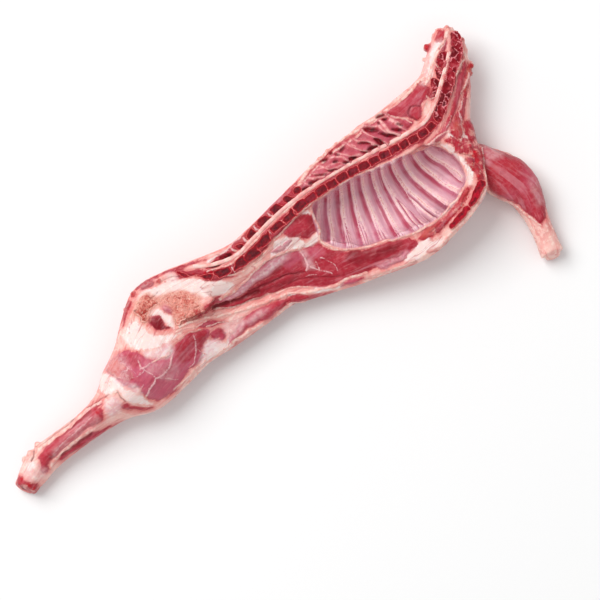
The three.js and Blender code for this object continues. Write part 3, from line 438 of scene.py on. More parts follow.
# The rib cage's edge, and the ridge of each rib from the backbone to the breast.
RIB_CAGE = [
    313,204, 320,199, 332,190, 343,183, 360,174.5, 380,165.5, 395,158.5, 411,151.5, 424,147.5, 437,144, 443,147,
    451,152, 459,160, 464,170, 466.5,177, 464,187, 458,198, 452,207, 443,215, 432,222, 420,229, 408,235,
    395,239, 380,241.5, 366,246, 352,248.5, 338,247, 329,243.5, 320,238, 315,226, 312,214,
]
RIBS = [
    [436,142, 445,146, 453,150, 460,159, 468,172],
    [427,149, 432,154, 438,158, 445,161.5, 452,166, 458,170, 463,176],
    [414,153, 420,161, 425,166, 430,170, 436,174, 443,180, 450,185, 457,189, 462,192],
    [404,159, 408,167, 413,174, 419,180, 425,185, 431,190, 438,195, 445,200, 452,205],
    [392,162, 397,171, 403,180, 408,187, 414,193, 420,198, 427,205, 434,211, 441,217],
    [381,166, 384.5,177, 388,185, 393,193, 398,202, 404,211, 410,220, 417,229],
    [372,170, 375,180, 378.5,189, 382.5,199, 386,207, 390,215, 395,224, 401,234, 404,239],
    [362,175, 363.5,185, 366,194, 369,203, 372,210, 375.5,218, 379,226, 383,235, 386,241],
    [351.5,180, 353.5,192, 355,200, 356.5,208, 359,216, 361.5,224, 364.5,232, 368,244],
    [341,185, 342,195, 342.5,205, 343,212, 344.5,220, 346,228, 348,236, 351,248],
    [328,193, 328.5,205, 329,213, 330.5,222, 332,230, 332,238, 333,246],
    [319.5,200, 318,210, 317.5,218, 318,226, 320,236],
    [309,204, 307,215, 308,226, 311,238],
]

# The outer side has pixels of its own. For places along the body (0 hock, 1 neck): the pixel
# on its back line, then the one on its belly line.
OUTER_BODY_LINES = [
    0.0,249,545,259,568, 0.07,268,520,284,541, 0.16,296,492,310,520, 0.215,310,472,345,496,
    0.27,326,440,376,473, 0.34,340,410,398,445, 0.41,357,395,416,425, 0.49,390,374,446,390,
    0.56,402,338,476,367, 0.66,411,290,512,335, 0.74,420,268,530,318, 0.8,452,238,552,292, 0.86,482,208,552,250,
    0.92,508,180,554,212, 0.96,528,155,568,180, 1.0,542,132,586,150,
]
OUTER_MUSCLES = {
    "shoulder": (0.15, 0.05, [456,246, 470,228, 486,214, 504,205, 522,206, 538,220, 547,240, 546,254, 528,262,
        505,262, 484,259, 466,256]),
    "shoulder edge": (0.5, 0.15, [549,214, 554,232, 558,255, 562,285, 566,300, 558,300, 550,280, 547,262,
        549,240, 545,226]),
    "blade end": (0.55, 0.35, [531,266, 537,263, 544,262, 546,270, 543,279, 537,283, 532,279]),
    "behind blade": (0.55, 0.25, [462,372, 470,352, 478,335, 486,318, 492,305, 497,310, 500,322, 497,338,
        488,356, 476,370]),
    "under blade": (0.25, 0.05, [476,276, 484,270, 491,276, 493,290, 490,302, 482,304, 477,292]),
    "elbow": (0.3, 0.1, [500,268, 518,266, 530,272, 528,284, 515,290, 503,288]),
    "breast": (0.4, 0.15, [500,306, 515,300, 528,308, 522,320, 510,330, 500,330]),
    "loin": (0.7, 0.0, [402,398, 406,378, 416,373, 432,376, 446,382, 452,388, 436,406, 416,426, 398,444,
        388,452, 394,432, 400,414]),
    "hip": (0.1, 0.15, [362,440, 366,425, 376,415, 386,412, 396,417, 398,427, 388,440, 374,448, 363,448]),
    "hip 2": (0.0, 0.0, [366,462, 380,452, 388,448, 380,462, 370,474]),
    "rump": (0.6, 0.5, [342,449, 350,441, 362,447, 366,456, 361,466, 350,464, 343,457]),
    "thigh": (0.1, 0.2, [303,492, 314,470, 328,457, 342,464, 353,470, 356,479, 344,488, 326,492, 312,494]),
    "shank": (0.35, 0.1, [282,524, 296,503, 312,498, 318,504, 310,516, 296,526, 286,532]),
    "neck": (0.35, 0.1, [532,202, 540,178, 550,158, 560,142, 574,146, 578,158, 568,178, 558,196, 548,206]),
    "neck end": (0.6, 0.4, [541,134, 552,132, 566,138, 584,146, 586,154, 578,152, 562,146, 548,142]),
    "flank": (0.45, 0.1, [408,300, 412,286, 420,280, 424,292, 420,308, 411,312]),
    "hock end": (0.5, 0.1, [244,566, 250,556, 262,560, 268,572, 258,580]),
}
OUTER_WHITE = {
    "scapula": [480,268, 488,266, 493,274, 488,280, 483,274],
    "belly": [404,452, 424,432, 446,408, 452,412, 430,438, 410,458],
}
OUTER_FILMS = {
    "ribs": (0.8, [424,330, 430,300, 444,272, 456,264, 466,274, 470,296, 464,330, 448,352, 430,356]),
    "shoulder": (0.7, [478,262, 500,240, 524,232, 546,244, 544,256, 520,262, 498,264]),
    "hip": (0.8, [346,432, 352,418, 366,410, 378,408, 370,420, 362,434, 354,440]),
    "rump": (0.7, [366,462, 380,450, 392,440, 388,452, 376,468, 368,474]),
    "thigh": (0.6, [312,500, 340,492, 358,482, 366,486, 346,498, 320,510]),
    "neck": (0.7, [508,204, 524,180, 536,156, 544,152, 540,174, 532,198, 522,210]),
    "foreleg": (0.6, [518,290, 534,284, 548,290, 560,304, 572,320, 566,334, 552,324, 540,312, 526,304]),
    "hock": (0.9, [250,540, 262,524, 276,520, 284,528, 270,546, 258,556]),
}
OUTER_LINES = {
    "loin seam": (0.9, 0.8, [402,371, 410,367, 422,368, 434,372, 446,378, 456,382, 460,384]),
    "loin seam 2": (0.7, 0.6, [402,371, 400,384, 404,396, 400,412, 394,424, 388,440]),
    "blade seam": (0.8, 0.9, [450,252, 462,260, 471,268, 476,280, 478,292, 486,303, 492,306, 491,318, 482,332,
        472,350, 464,368, 460,380]),
    "blade seam 2": (0.9, 0.9, [490,272, 495,282, 496,294, 489,306]),
    "shoulder seam": (0.6, 0.6, [452,250, 468,254, 486,259, 504,263, 524,263, 540,258, 550,250]),
    "neck seam": (0.7, 0.6, [528,176, 531,192, 538,202, 550,210, 556,222]),
    "neck seam 2": (0.5, 0.4, [500,204, 514,190, 526,172, 536,150]),
    "foreleg seam": (0.8, 0.7, [514,300, 530,292, 544,296, 556,306, 566,318]),
    "elbow seam": (0.6, 0.6, [546,262, 551,280, 560,298, 568,312]),
    "hip seam": (0.6, 0.5, [400,414, 392,411, 380,410, 368,420, 360,436, 356,446]),
    "thigh seam": (0.6, 0.5, [366,458, 360,468, 358,480, 346,490, 326,496, 306,502, 290,516]),
    "thigh seam 2": (0.5, 0.4, [330,454, 338,462, 342,470]),
    "back seam": (0.6, 0.5, [430,268, 424,290, 420,316, 414,344, 404,366]),
    "flank seam": (0.5, 0.4, [470,360, 486,350, 500,338, 516,322]),
}
OUTER_CREASES = {
    "elbow": (0.6, 1.5, [540,300, 532,306, 524,314]),
    "rump": (0.5, 1.0, [352,448, 356,456, 354,462]),
    "hock": (0.7, 1.5, [256,530, 262,532, 266,528]),
}

# The sawn pelvis: a lobe on each side of the hip's lining.
PELVIS = [
    [156.7,298.9, 163,296.5, 170,294.4, 176,293, 182.2,292.2, 188.9,294.4, 195,295.5, 200,296.7, 199.4,299.4,
     195.6,301.7, 199,303, 200,306, 196.7,308.3, 192.2,312.8, 187,317, 182.2,320.6, 180,325, 175.6,325,
     174.4,318.3, 173.3,311.7, 171.1,306.1, 164.4,301.7, 158,300.5],
    [143.3,296.1, 146.7,294.1, 152.2,296.7, 156.7,298.3, 160,301.7, 161.1,304.4, 157.8,305, 154.4,306.1,
     151.1,309.4, 149.4,312.8, 148.3,316.7, 147.2,320, 143.9,322.2, 141.1,319.4, 138.9,315, 134.4,314.4,
     133.9,311.7, 136.7,309.4, 138.3,306.1, 136.7,303.3, 140.6,301.7, 142.2,298.3],
]

# The torn bones of the neck, beside the spinal cord: the bodies, and the spines on its other side.
NECK_BONES = [
    [451,35, 452,31, 458,30, 462.5,35, 463.5,46, 463,54, 461,61, 458.5,66, 456,76, 454,86, 451,96, 448,105,
     445.5,113, 441,121.5, 435,120, 433,114, 436,106, 439,98, 441.5,90, 444.5,80, 447.8,69, 450.5,57, 451.5,46],
    [435.5,61, 437,56, 440,52.5, 443,50.5, 447,51, 449.5,53.5, 448,58.5, 445,62.5, 443,66.5, 440.5,67.5,
     438,64.5],
    [435.5,67, 438,69.5, 441.5,70.5, 443.5,75, 441,81, 437.5,78.5, 435.5,73],
    [431,80, 434,77, 438,80, 440.5,83, 439.5,89, 437,96, 433,96, 431.5,88],
]

# The sawn bones of the loin from its front end to the sacrum: their bodies, then their spines.
LOIN_BONES = [
    [302.5,199, 305.6,200, 306.9,202.5, 308.1,204.4, 305,206.9, 302.5,208.8, 298.1,212.5, 296.3,210.6,
     293.1,208.1, 293.8,205.6, 296.9,202.5, 300,200],
    [290.6,208.5, 293.1,210.6, 293.8,213.1, 297.3,214.4, 295,216.9, 288.8,221.3, 286.3,223.8, 284.4,221.3,
     282.5,220, 284.4,217.5, 287.5,214.4, 288.8,211.3],
    [280,220.6, 282.5,221.3, 283.1,223.1, 284.8,223.8, 282.5,226.9, 276.3,230.6, 273.8,233.1, 270,230.6,
     269.1,229.4, 271.3,226.9, 275,223.8, 278.1,221.3],
    [266.9,231.5, 268.8,234.4, 270,237.5, 271.5,240.6, 268.8,242.5, 261.3,247.5, 259.4,250, 257.5,248.1,
     255,245, 258.1,241.3, 262.5,235.6, 265,233.8],
    [255,245, 257.5,247.5, 257.3,250, 260.6,251.9, 258.8,255, 251.9,260.6, 248.8,263.1, 246.9,261.3,
     243.8,257.5, 247.5,251.9, 251.3,248.8],
    [241.9,256, 244.4,258.8, 245,260, 248.8,262.5, 245,265, 240.6,267.5, 236.9,270, 234.8,271.3, 234,268.1,
     235.6,265, 234.4,263.8, 237.5,260],
    [214.4,270.6, 218.8,269.4, 223.8,268.1, 228.8,266.9, 230,268.8, 231.3,271.3, 229.4,273.8, 221.3,276.9,
     218.1,277.3, 216.9,275.6, 213.8,272.5],
    [197.8,274.4, 201.1,275.6, 204.4,275, 208.9,273.8, 213,274, 212.2,278.3, 210.6,280.6, 207.8,279.2,
     204.4,278.9, 200,277.2, 196.7,275.6],
    [177.2,271.7, 180,271.4, 182.2,273.3, 186.7,274.4, 188.9,275.2, 186.7,276.7, 183.3,277, 180.6,275.6,
     177.8,273.9],
    [293.1,190.6, 295,188.1, 298.8,186.9, 300.6,190, 299.4,192.5, 296.9,193.8, 294.4,192.5],
    [283.1,199.4, 284,197.5, 286.9,196, 290.6,196.9, 295,196.9, 296.9,197.8, 293.8,199.4, 291.3,201.3,
     288.1,203.5, 285,202.5],
    [270,209.4, 271.9,206.9, 275.6,204.4, 280,205.6, 284,206.9, 283.1,209.4, 280,210.6, 277.5,213.1,
     274.4,214.4, 271.5,212.5],
    [256.9,223.8, 258.1,220.6, 261.3,217.3, 265,215.6, 270,216.9, 272.5,218.8, 270,220.6, 265,224.4,
     262.5,226.3, 259.4,225.6],
    [246.9,235, 248.1,232.5, 251.3,229, 254.4,231.3, 260.6,230.6, 257.5,233.1, 255.6,235, 252.5,238.1,
     249.4,239.4, 247.3,237.5],
    [235,246.3, 236.9,244.4, 240,243.8, 243.1,245, 244.4,246.5, 241.3,248.1, 238.8,249.4, 236.3,248.1],
]

# The sawn breastbone, in two bones.
BREASTBONE = [
    [475,187, 477,182, 481,180.5, 485,181.5, 485.5,184.5, 483,189.5, 480,195.5, 477,200.5, 473.5,205,
     470.5,206.5, 468.5,204, 471,199, 473,194],
    [464,207, 467,205.5, 470,208.5, 468,212, 464,217, 459,222, 455,226.5, 452,228, 449.5,225.5, 453,221,
     458,215.5, 461.5,210.5],
]

# Loose lumps of trimmed meat and fat: photo pixel, height in millimetres, size in millimetres.
LUMPS = [
    448,27,62,6, 440,31,60,8, 456,32,62,7, 428.5,46,58,8, 471,64,58,8, 463,38,64,5, 470,72,60,7, 132,294,58,6,
    27,456,32,7, 22,461,28,7, 34,447,34,6, 452,27,60,5, 435,35,58,6, 466,49,62,6, 124,310,60,5, 469,84,58,6,
    470,146,86,6, 477,153,82,6, 468,95,66,5, 425,58,60,4,
]


def linear(hex_colour):
    """An sRGB hex colour as linear red, green, blue and alpha."""
    parts = [int(hex_colour[i : i + 2], 16) / 255 for i in (1, 3, 5)]
    return tuple(c / 12.92 if c <= 0.04045 else ((c + 0.055) / 1.055) ** 2.4 for c in parts) + (1.0,)


class LambSettings(bpy.types.PropertyGroup):
    """Sizes and colours of the carcass's looks."""

    grid: bpy.props.FloatProperty(
        name="Skin grid", description="Distance between points of the meat's surface",
        default=2.15 * MM, min=MM, max=0.02, unit="LENGTH", precision=5)
    rib_height: bpy.props.FloatProperty(
        name="Rib height", description="How far a rib stands up under its lining",
        default=3.4 * MM, min=0, max=0.01, unit="LENGTH", precision=5)
    bulge: bpy.props.FloatProperty(
        name="Muscle bulge", description="How far a muscle's middle stands above its edge",
        default=2.2 * MM, min=0, max=0.01, unit="LENGTH", precision=5)
    unevenness: bpy.props.FloatProperty(
        name="Unevenness", description="Height of the small lumps all over the meat",
        default=0.9 * MM, min=0, max=0.005, unit="LENGTH", precision=5)
    fat_colour: bpy.props.FloatVectorProperty(
        name="Fat", description="Colour of the fat",
        default=linear("#f1c3ba"), min=0, max=1, size=4, subtype="COLOR")
    muscle_colour: bpy.props.FloatVectorProperty(
        name="Muscle", description="Colour of the mauve muscle",
        default=linear("#c36376"), min=0, max=1, size=4, subtype="COLOR")
    lining_colour: bpy.props.FloatVectorProperty(
        name="Lining", description="Colour of a rib under its lining",
        default=linear("#f0d0d4"), min=0, max=1, size=4, subtype="COLOR")
    marrow_colour: bpy.props.FloatVectorProperty(
        name="Marrow", description="Colour of the dark marrow",
        default=linear("#4a0d17"), min=0, max=1, size=4, subtype="COLOR")
    cord_colour: bpy.props.FloatVectorProperty(
        name="Cord", description="Colour of the spinal cord",
        default=linear("#f6d0c7"), min=0, max=1, size=4, subtype="COLOR")


# ---- places ----


def from_photo(x, y, z=SAWN_HEIGHT):
    """The point of the frame, in metres, that shows at a pixel of the photo."""
    right, up = (x - PHOTO_MIDDLE) * PIXEL, (PHOTO_MIDDLE - y) * PIXEL
    root = math.sqrt(0.5)
    return Vector((MIDDLE_AT[0] + (right + up) * root, MIDDLE_AT[1] + (up - right) * root, z))


def to_photo(points):
    """The photo's pixel of each point: two arrays, x and y."""
    along, back = points[:, 0] - MIDDLE_AT[0], points[:, 1] - MIDDLE_AT[1]
    root = math.sqrt(0.5) / PIXEL
    return PHOTO_MIDDLE + (along - back) * root, PHOTO_MIDDLE - (along + back) * root


def sawn_height(x):
    """How high the sawn side lies at a place along the body."""
    return SAWN_HEIGHT - max(0.0, x - NECK_START) * NECK_FALL


def smooth_line(points, closed=False, steps=4):
    """The same course with rounded corners, as an array of pixels."""
    p = np.array(points, float).reshape(-1, 2)
    n = len(p)
    last = n if closed else n - 1
    at = (lambda k: p[k % n]) if closed else (lambda k: p[min(max(k, 0), n - 1)])
    out = []
    for i in range(last):
        a, b, c, d = at(i - 1), at(i), at(i + 1), at(i + 2)
        for t in np.arange(steps) / steps:
            bend = (2 * a - 5 * b + 4 * c - d) * t * t + (3 * b - a - 3 * c + d) * t**3
            out.append(0.5 * (2 * b + (c - a) * t + bend))
    if not closed:
        out.append(p[-1])
    return np.array(out)


def near_to(u, v, line, reach=0.0):
    """Tells the places inside a line's box, which is larger by a reach."""
    low, high = line.min(0) - reach, line.max(0) + reach
    return (u > low[0]) & (u < high[0]) & (v > low[1]) & (v < high[1])


def distance_to_line(u, v, line, reach=REACH):
    """Distance of each place to a line; beyond the reach it isn't worked out."""
    out = np.full(u.shape, float(reach))
    near = near_to(u, v, line, reach)
    x, y = u[near], v[near]
    best = np.full(x.shape, float(reach))
    for a, b in zip(line[:-1], line[1:]):
        d = b - a
        t = np.clip(((x - a[0]) * d[0] + (y - a[1]) * d[1]) / max(d @ d, 1e-18), 0, 1)
        best = np.minimum(best, np.hypot(x - a[0] - t * d[0], y - a[1] - t * d[1]))
    out[near] = best
    return out


def inside_by(u, v, outline, reach=REACH, smooth=True):
    """How far each place is inside an outline; less than nothing outside it."""
    loop = smooth_line(outline, closed=True) if smooth else np.array(outline)
    ring = np.vstack([loop, loop[:1]])
    away = distance_to_line(u, v, ring, reach)
    near = near_to(u, v, loop)
    x, y = u[near], v[near]
    odd = np.zeros(x.shape, bool)
    for a, b in zip(ring[:-1], ring[1:]):
        if a[1] != b[1]:
            crosses = (a[1] > y) != (b[1] > y)
            odd ^= crosses & (x < a[0] + (y - a[1]) * (b[0] - a[0]) / (b[1] - a[1]))
    inside = np.zeros(u.shape, bool)
    inside[near] = odd
    return np.where(inside, away, -away)


def nearest_of(shapes, u, v):
    """How far inside the nearest of some outlines each place is."""
    best = np.full(len(u), -REACH)
    for outline in shapes:
        best = np.maximum(best, inside_by(u, v, outline))
    return best


def in_outlines(points, outlines, reach):
    """How far each point is inside the nearest outline, seen from above."""
    best = np.full(len(points), -reach)
    for outline in outlines:
        best = np.maximum(best, inside_by(points[:, 0], points[:, 1], outline[:, :2], reach, smooth=False))
    return best


def in_leaf(u, v, x0, y0, x1, y1, half):
    """How far each place is inside a leaf: widest in the middle, pointed at its two ends."""
    dx, dy = x1 - x0, y1 - y0
    length = math.hypot(dx, dy)
    t = ((u - x0) * dx + (v - y0) * dy) / length**2
    side = np.abs((u - x0) * dy - (v - y0) * dx) / length
    wide = half * np.sqrt(np.clip(4 * t * (1 - t), 0, 1))
    past = np.maximum(np.maximum(-t, t - 1), 0) * length
    return np.maximum(wide - side - past, -LINE_REACH)


def lumpy(points, size, seed=0):
    """Smooth unevenness from -1 to 1 with lumps of about a size."""
    q = points / size + 17.3 * (seed + 1)
    cell = np.floor(q).astype(np.int64)
    f = q - cell
    f = f * f * (3 - 2 * f)
    sides = q.shape[1]
    total = np.zeros(len(points))
    for corner in range(2**sides):
        o = np.array([(corner >> k) & 1 for k in range(sides)])
        # A fixed hash of the corner's whole numbers gives its height.
        h = ((cell + o) @ np.array([374761393, 668265263, 1440662683][:sides]) + seed * 1274126177) & 0xFFFFFFFF
        h = ((h ^ (h >> 13)) * 1274126177) & 0xFFFFFFFF
        h = (h ^ (h >> 16)) & 0xFFFFFFFF
        total += np.prod(np.where(o, f, 1 - f), axis=1) * (h / 2**31 - 1)
    return total


def ramp(x, low, high):
    """0 below low, 1 above high, smooth between."""
    t = np.clip((x - low) / (high - low), 0, 1)
    return t * t * (3 - 2 * t)


def body_flow(points):
    """Length along the body and share across it from the back line, for each point."""
    lines = np.array(BODY_LINES, float).reshape(-1, 2, 2) * MM + np.array(MIDDLE_AT)
    back = smooth_line(lines[:, 0], steps=3)
    belly = smooth_line(lines[:, 1], steps=3)
    length = np.concatenate([[0], np.cumsum(np.hypot(*np.diff((back + belly) / 2, axis=0).T))])
    p = points[:, :2]
    past = []
    for start, end in zip(back, belly):
        way, off = end - start, p - start
        past.append((way[0] * off[:, 1] - way[1] * off[:, 0]) / np.hypot(*way))
    along, across = np.zeros(len(p)), np.zeros(len(p))
    open_yet = np.ones(len(p), bool)
    for i in range(len(back) - 1):
        a, b = past[i], past[i + 1]
        here = open_yet & (b < 0) & (a >= 0 if i else True)
        if i == len(back) - 2:
            here = open_yet
        t = np.clip(a[here] / np.maximum(a[here] - b[here], 1e-9), 0, 1)
        along[here] = length[i] + (length[i + 1] - length[i]) * t
        start = back[i] + (back[i + 1] - back[i]) * t[:, None]
        way = belly[i] + (belly[i + 1] - belly[i]) * t[:, None] - start
        across[here] = ((p[here] - start) * way).sum(1) / (way**2).sum(1)
        open_yet &= ~here
    return along, across


# ---- materials ----

# Each kind of node: its type, its inputs in the order they are given, its output, its settings.
KINDS = {
    "place": ("ShaderNodeTexCoord", (), "Object", {}),
    "layer": ("ShaderNodeAttribute", (), "Fac", {}),
    "noise": ("ShaderNodeTexNoise", ("Vector", "Scale", "Detail", "Roughness", "Distortion"), "Fac", {}),
    "cells": ("ShaderNodeTexVoronoi", ("Vector", "Scale"), "Distance", {}),
    "vector": ("ShaderNodeCombineXYZ", (0, 1, 2), 0, {}),
    "vector sum": ("ShaderNodeVectorMath", (0, 1, 2), 0, {"operation": "MULTIPLY_ADD"}),
    "red part": ("ShaderNodeSeparateColor", (0,), 0, {}),
    "sum": ("ShaderNodeMath", (0, 1), 0, {"operation": "ADD"}),
    "product": ("ShaderNodeMath", (0, 1), 0, {"operation": "MULTIPLY"}),
    "scaled sum": ("ShaderNodeMath", (0, 1, 2), 0, {"operation": "MULTIPLY_ADD"}),
    "size": ("ShaderNodeMath", (0,), 0, {"operation": "ABSOLUTE"}),
    "fraction": ("ShaderNodeMath", (0,), 0, {"operation": "FRACT"}),
    "step": ("ShaderNodeMapRange", ("Value", "From Min", "From Max", "To Max"), 0,
             {"interpolation_type": "SMOOTHSTEP"}),
    "mix": ("ShaderNodeMix", (0, 6, 7), 2, {"data_type": "RGBA"}),
    "vivid": ("ShaderNodeHueSaturation", ("Saturation", "Value", "Color"), 0, {}),
    "relief": ("ShaderNodeBump", ("Height", "Strength", "Distance"), 0, {}),
    "surface": ("ShaderNodeBsdfPrincipled", ("Base Color", "Roughness", "Normal"), 0, {}),
    "output": ("ShaderNodeOutputMaterial", ("Surface",), None, {}),
}


def add(tree, kind, *values, output=None, numbers=None, **settings):
    """Adds a node with its settings, its numbers and its links, and gives back its output."""
    type_name, sockets, usual, always = KINDS[kind]
    node = tree.nodes.new(type_name)
    for key, value in {**always, **settings}.items():
        setattr(node, key, value)
    for key, value in {**dict(zip(sockets, values)), **(numbers or {})}.items():
        if isinstance(value, bpy.types.NodeSocket):
            tree.links.new(value, node.inputs[key])
        else:
            node.inputs[key].default_value = linear(value) if isinstance(value, str) else value
    return node.outputs[usual if output is None else output] if node.outputs else node


def new_material(name, layers=()):
    """A material, the function that adds its nodes, and the layers of the mesh that it reads."""
    material = bpy.data.materials.new(name)
    material.use_nodes = True
    material.node_tree.nodes.clear()
    node = partial(add, material.node_tree)
    return material, node, {layer: node("layer", attribute_name=layer) for layer in layers}


def tinted(node, colour, *tints):
    """A colour with others over it: each where a pattern goes from one value to another, and how much."""
    for pattern, low, high, most, over in tints:
        colour = node("mix", node("step", pattern, low, high, most), colour, over)
    return colour


def finish_material(node, colour, roughness, height, **numbers):
    """The surface from a colour, a roughness and a height in metres."""
    colour = node("vivid", FRESHNESS, BRIGHTNESS, colour)
    relief = node("relief", height, 0.9, 1.0)
    numbers = {key.replace("_", " "): value for key, value in numbers.items()}
    node("output", node("surface", colour, roughness, relief, numbers=numbers))


def raw_meat(settings):
    """Raw lamb in one skin: soft matt fat, wet muscle with fibres, and the chest's glossy lining.

    The scale of a noise is 1000 over the size of its lumps in millimetres.
    """
    material, node, layer = new_material("raw_lamb_meat", (
        "muscle", "tone", "depth", "white", "film", "seam", "crease", "pelvis", "scrap", "slot", "sliver", "blood",
        "lining", "ribs", "outside", "cage_shade", "along", "across", "level"))
    place = node("place")

    # Fibres follow the body: a place with its length along the body shrunk eight times.
    flow = node("vector", layer["along"], layer["across"], layer["level"])
    stretched = node("vector sum", flow, (0.12, 1.0, 1.0), (0.0, 0.0, 0.0))
    fibres = node("noise", stretched, 1000 / 3.2, 3.0, 0.6, 0.3)
    strands = node("noise", stretched, 1000 / 8.0, 3.0, 0.6, 0.6)
    fine = node("noise", place, 1000 / 2.6, 4.0, 0.65)
    medium = node("noise", place, 1000 / 8.0, 4.0, 0.6, 0.4)
    broad = node("noise", place, 1000 / 42.0, 3.0, 0.5, 0.5)
    # A ragged edge, in pixels: fine tatters, lumps, and fingers that reach along the fibres.
    tatters = node("scaled sum", medium, 5.0, node("scaled sum", fine, 3.0, -4.0))
    ragged = node("scaled sum", strands, 6.0, node("sum", tatters, -3.0))

    # Fat: soft and matt, pinker where it is thin over the muscle, with blood in its finest seams.
    muscle = node("sum", layer["muscle"], ragged)
    fat = tinted(
        node, tuple(settings.fat_colour), (broad, 0.36, 0.64, 1.0, "#e7a39c"), (medium, 0.48, 0.66, 0.8, "#f8d6cc"),
        (strands, 0.53, 0.7, 0.6, "#dc6f6c"), (fibres, 0.56, 0.68, 0.35, "#f7e0d8"),
        (muscle, -5.0, 0.5, 0.7, "#d96f70"))
    white = node("step", node("sum", layer["white"], ragged), -1.4, 1.6)
    dry = tinted(node, "#f3d9d4", (strands, 0.54, 0.74, 0.45, "#e6b5b1"), (medium, 0.5, 0.7, 0.8, "#f8eeeb"))
    fat = node("mix", white, fat, dry)
    threads = node("size", node("sum", node("noise", stretched, 1000 / 16.0, 2.0, 0.5, 1.2), -0.5))
    fat = tinted(node, fat, (threads, 0.014, 0.002, 0.55, "#bf5a5e"))

    # The outer side: a thin fascia, pale pink and brushed, over the red muscle.
    fascia = tinted(
        node, "#dd9a93", (broad, 0.35, 0.65, 1.0, "#d08684"), (strands, 0.46, 0.66, 0.5, "#ecc2b9"),
        (medium, 0.5, 0.68, 0.4, "#e08e7c"), (fibres, 0.54, 0.7, 0.4, "#f3d6cd"))
    fascia = node("mix", white, fascia, dry)
    fat = node("mix", layer["outside"], fat, fascia)

    # Muscle: wet and translucent, with paler streaks of fat along its fibres.
    tone = node("scaled sum", broad, 0.8, node("sum", layer["tone"], -0.4))
    dark = node("scaled sum", strands, 0.5, node("scaled sum", broad, 0.6, node("sum", layer["depth"], -0.55)))
    flesh = tinted(
        node, tuple(settings.muscle_colour), (tone, 0.0, 0.45, 1.0, "#b33e49"), (tone, 0.55, 1.0, 1.0, "#cb685f"),
        (medium, 0.44, 0.64, 0.25, "#d67f86"), (dark, 0.0, 0.9, 1.0, "#6e121b"),
        (fibres, 0.54, 0.7, 0.22, "#e39a9c"), (fibres, 0.44, 0.3, 0.2, "#8a2430"))
    flesh = node("mix", node("product", layer["outside"], 0.5), flesh, fascia)
    colour = node("mix", node("step", muscle, -0.9, 0.9), fat, flesh)

    # Silverskin: a thin film with a lilac sheen, and wisps of it along the fibres.
    film = node("step", node("scaled sum", medium, 0.6, strands), 0.6, 0.95, 0.55)
    film = node("product", node("sum", film, 0.45), layer["film"])
    colour = node("mix", film, colour, tinted(node, "#e6bfc6", (medium, 0.4, 0.6, 1.0, "#f0d8d6")))
    wisps = node("step", node("noise", stretched, 1000 / 14.0, 4.0, 0.6, 0.8), 0.55, 0.7, 0.3)
    colour = node("mix", node("product", wisps, node("step", muscle, 0.0, 3.0)), colour, "#e0a9b2")

    # Between two ribs: red muscle beside the one, fading through rose and lilac to the pale next one.
    down_rib = node("vector", layer["ribs"], node("product", layer["across"], 6.0))
    lengthwise = node("noise", down_rib, 4.5, 3.0, 0.6)
    place_between = node("scaled sum", lengthwise, 0.16, node("sum", layer["ribs"], -0.08))
    between = node("fraction", place_between)
    pale_rib = tinted(node, tuple(settings.lining_colour), (medium, 0.4, 0.62, 1.0, "#e3b4bc"))
    lilac = tinted(node, "#d3a3b0", (lengthwise, 0.4, 0.6, 1.0, "#e0b4be"))
    # Painted shade: towards the lower right of the rib cage's bowl the lilac turns grey and the rose dark.
    lilac = node("mix", node("product", layer["cage_shade"], 0.6), lilac, "#b08a93")
    rose = tinted(node, "#b25468", (broad, 0.4, 0.6, 1.0, "#be7488"))
    rose = node("mix", node("product", layer["cage_shade"], 0.7), rose, "#6e4048")
    ribs = tinted(
        node, pale_rib, (between, 0.08, 0.2, 1.0, rose), (between, 0.3, 0.58, 1.0, lilac),
        (between, 0.62, 0.86, 1.0, pale_rib), (lengthwise, 0.56, 0.72, 0.5, "#e9c3cb"))
    # A thin cream line along each rib, drawn 2 mm wide: painted highlight.
    off_rib = node("size", node("sum", node("fraction", node("sum", place_between, 0.55)), -0.5))
    rib_highlight = node("product", node("step", off_rib, 0.11, 0.085), node("step", medium, 0.36, 0.5, 0.8))
    ribs = node("mix", rib_highlight, ribs, "#fae2d8")
    vein = node("product", node("step", off_rib, 0.04, 0.02), node("step", fine, 0.4, 0.55, 0.7))
    ribs = node("mix", vein, ribs, "#d0808c")
    rim = tinted(node, "#d39aa4", (medium, 0.4, 0.6, 1.0, "#c07f8a"))
    ribs = tinted(node, ribs, (layer["lining"], 3.5, 0.5, 0.6, rim))
    lining = node("step", node("scaled sum", tatters, 0.2, layer["lining"]), -0.8, 0.8)
    colour = node("mix", lining, colour, ribs)

    # Crumbs and juice of the sawn pelvis on the fat round it.
    crumbs = tinted(node, "#c8766a", (fine, 0.42, 0.6, 1.0, "#e6a898"))
    colour = tinted(node, colour, (node("sum", layer["pelvis"], ragged), -5.0, 0.5, 0.75, crumbs))

    # Torn scraps of fat and red meat, some 12 mm across.
    scrap, bits = node("step", layer["scrap"], -3.0, 3.0), node("noise", place, 1000 / 12.0, 3.0, 0.55, 0.3)
    for low, high, most, scrap_colour, other in (
            (0.53, 0.62, 0.55, "#f0bfb2", "#e0958c"), (0.46, 0.36, 0.6, "#bd303a", "#93202c")):
        share = node("product", scrap, node("step", bits, low, high, most))
        colour = node("mix", share, colour, tinted(node, scrap_colour, (fine, 0.42, 0.6, 1.0, other)))
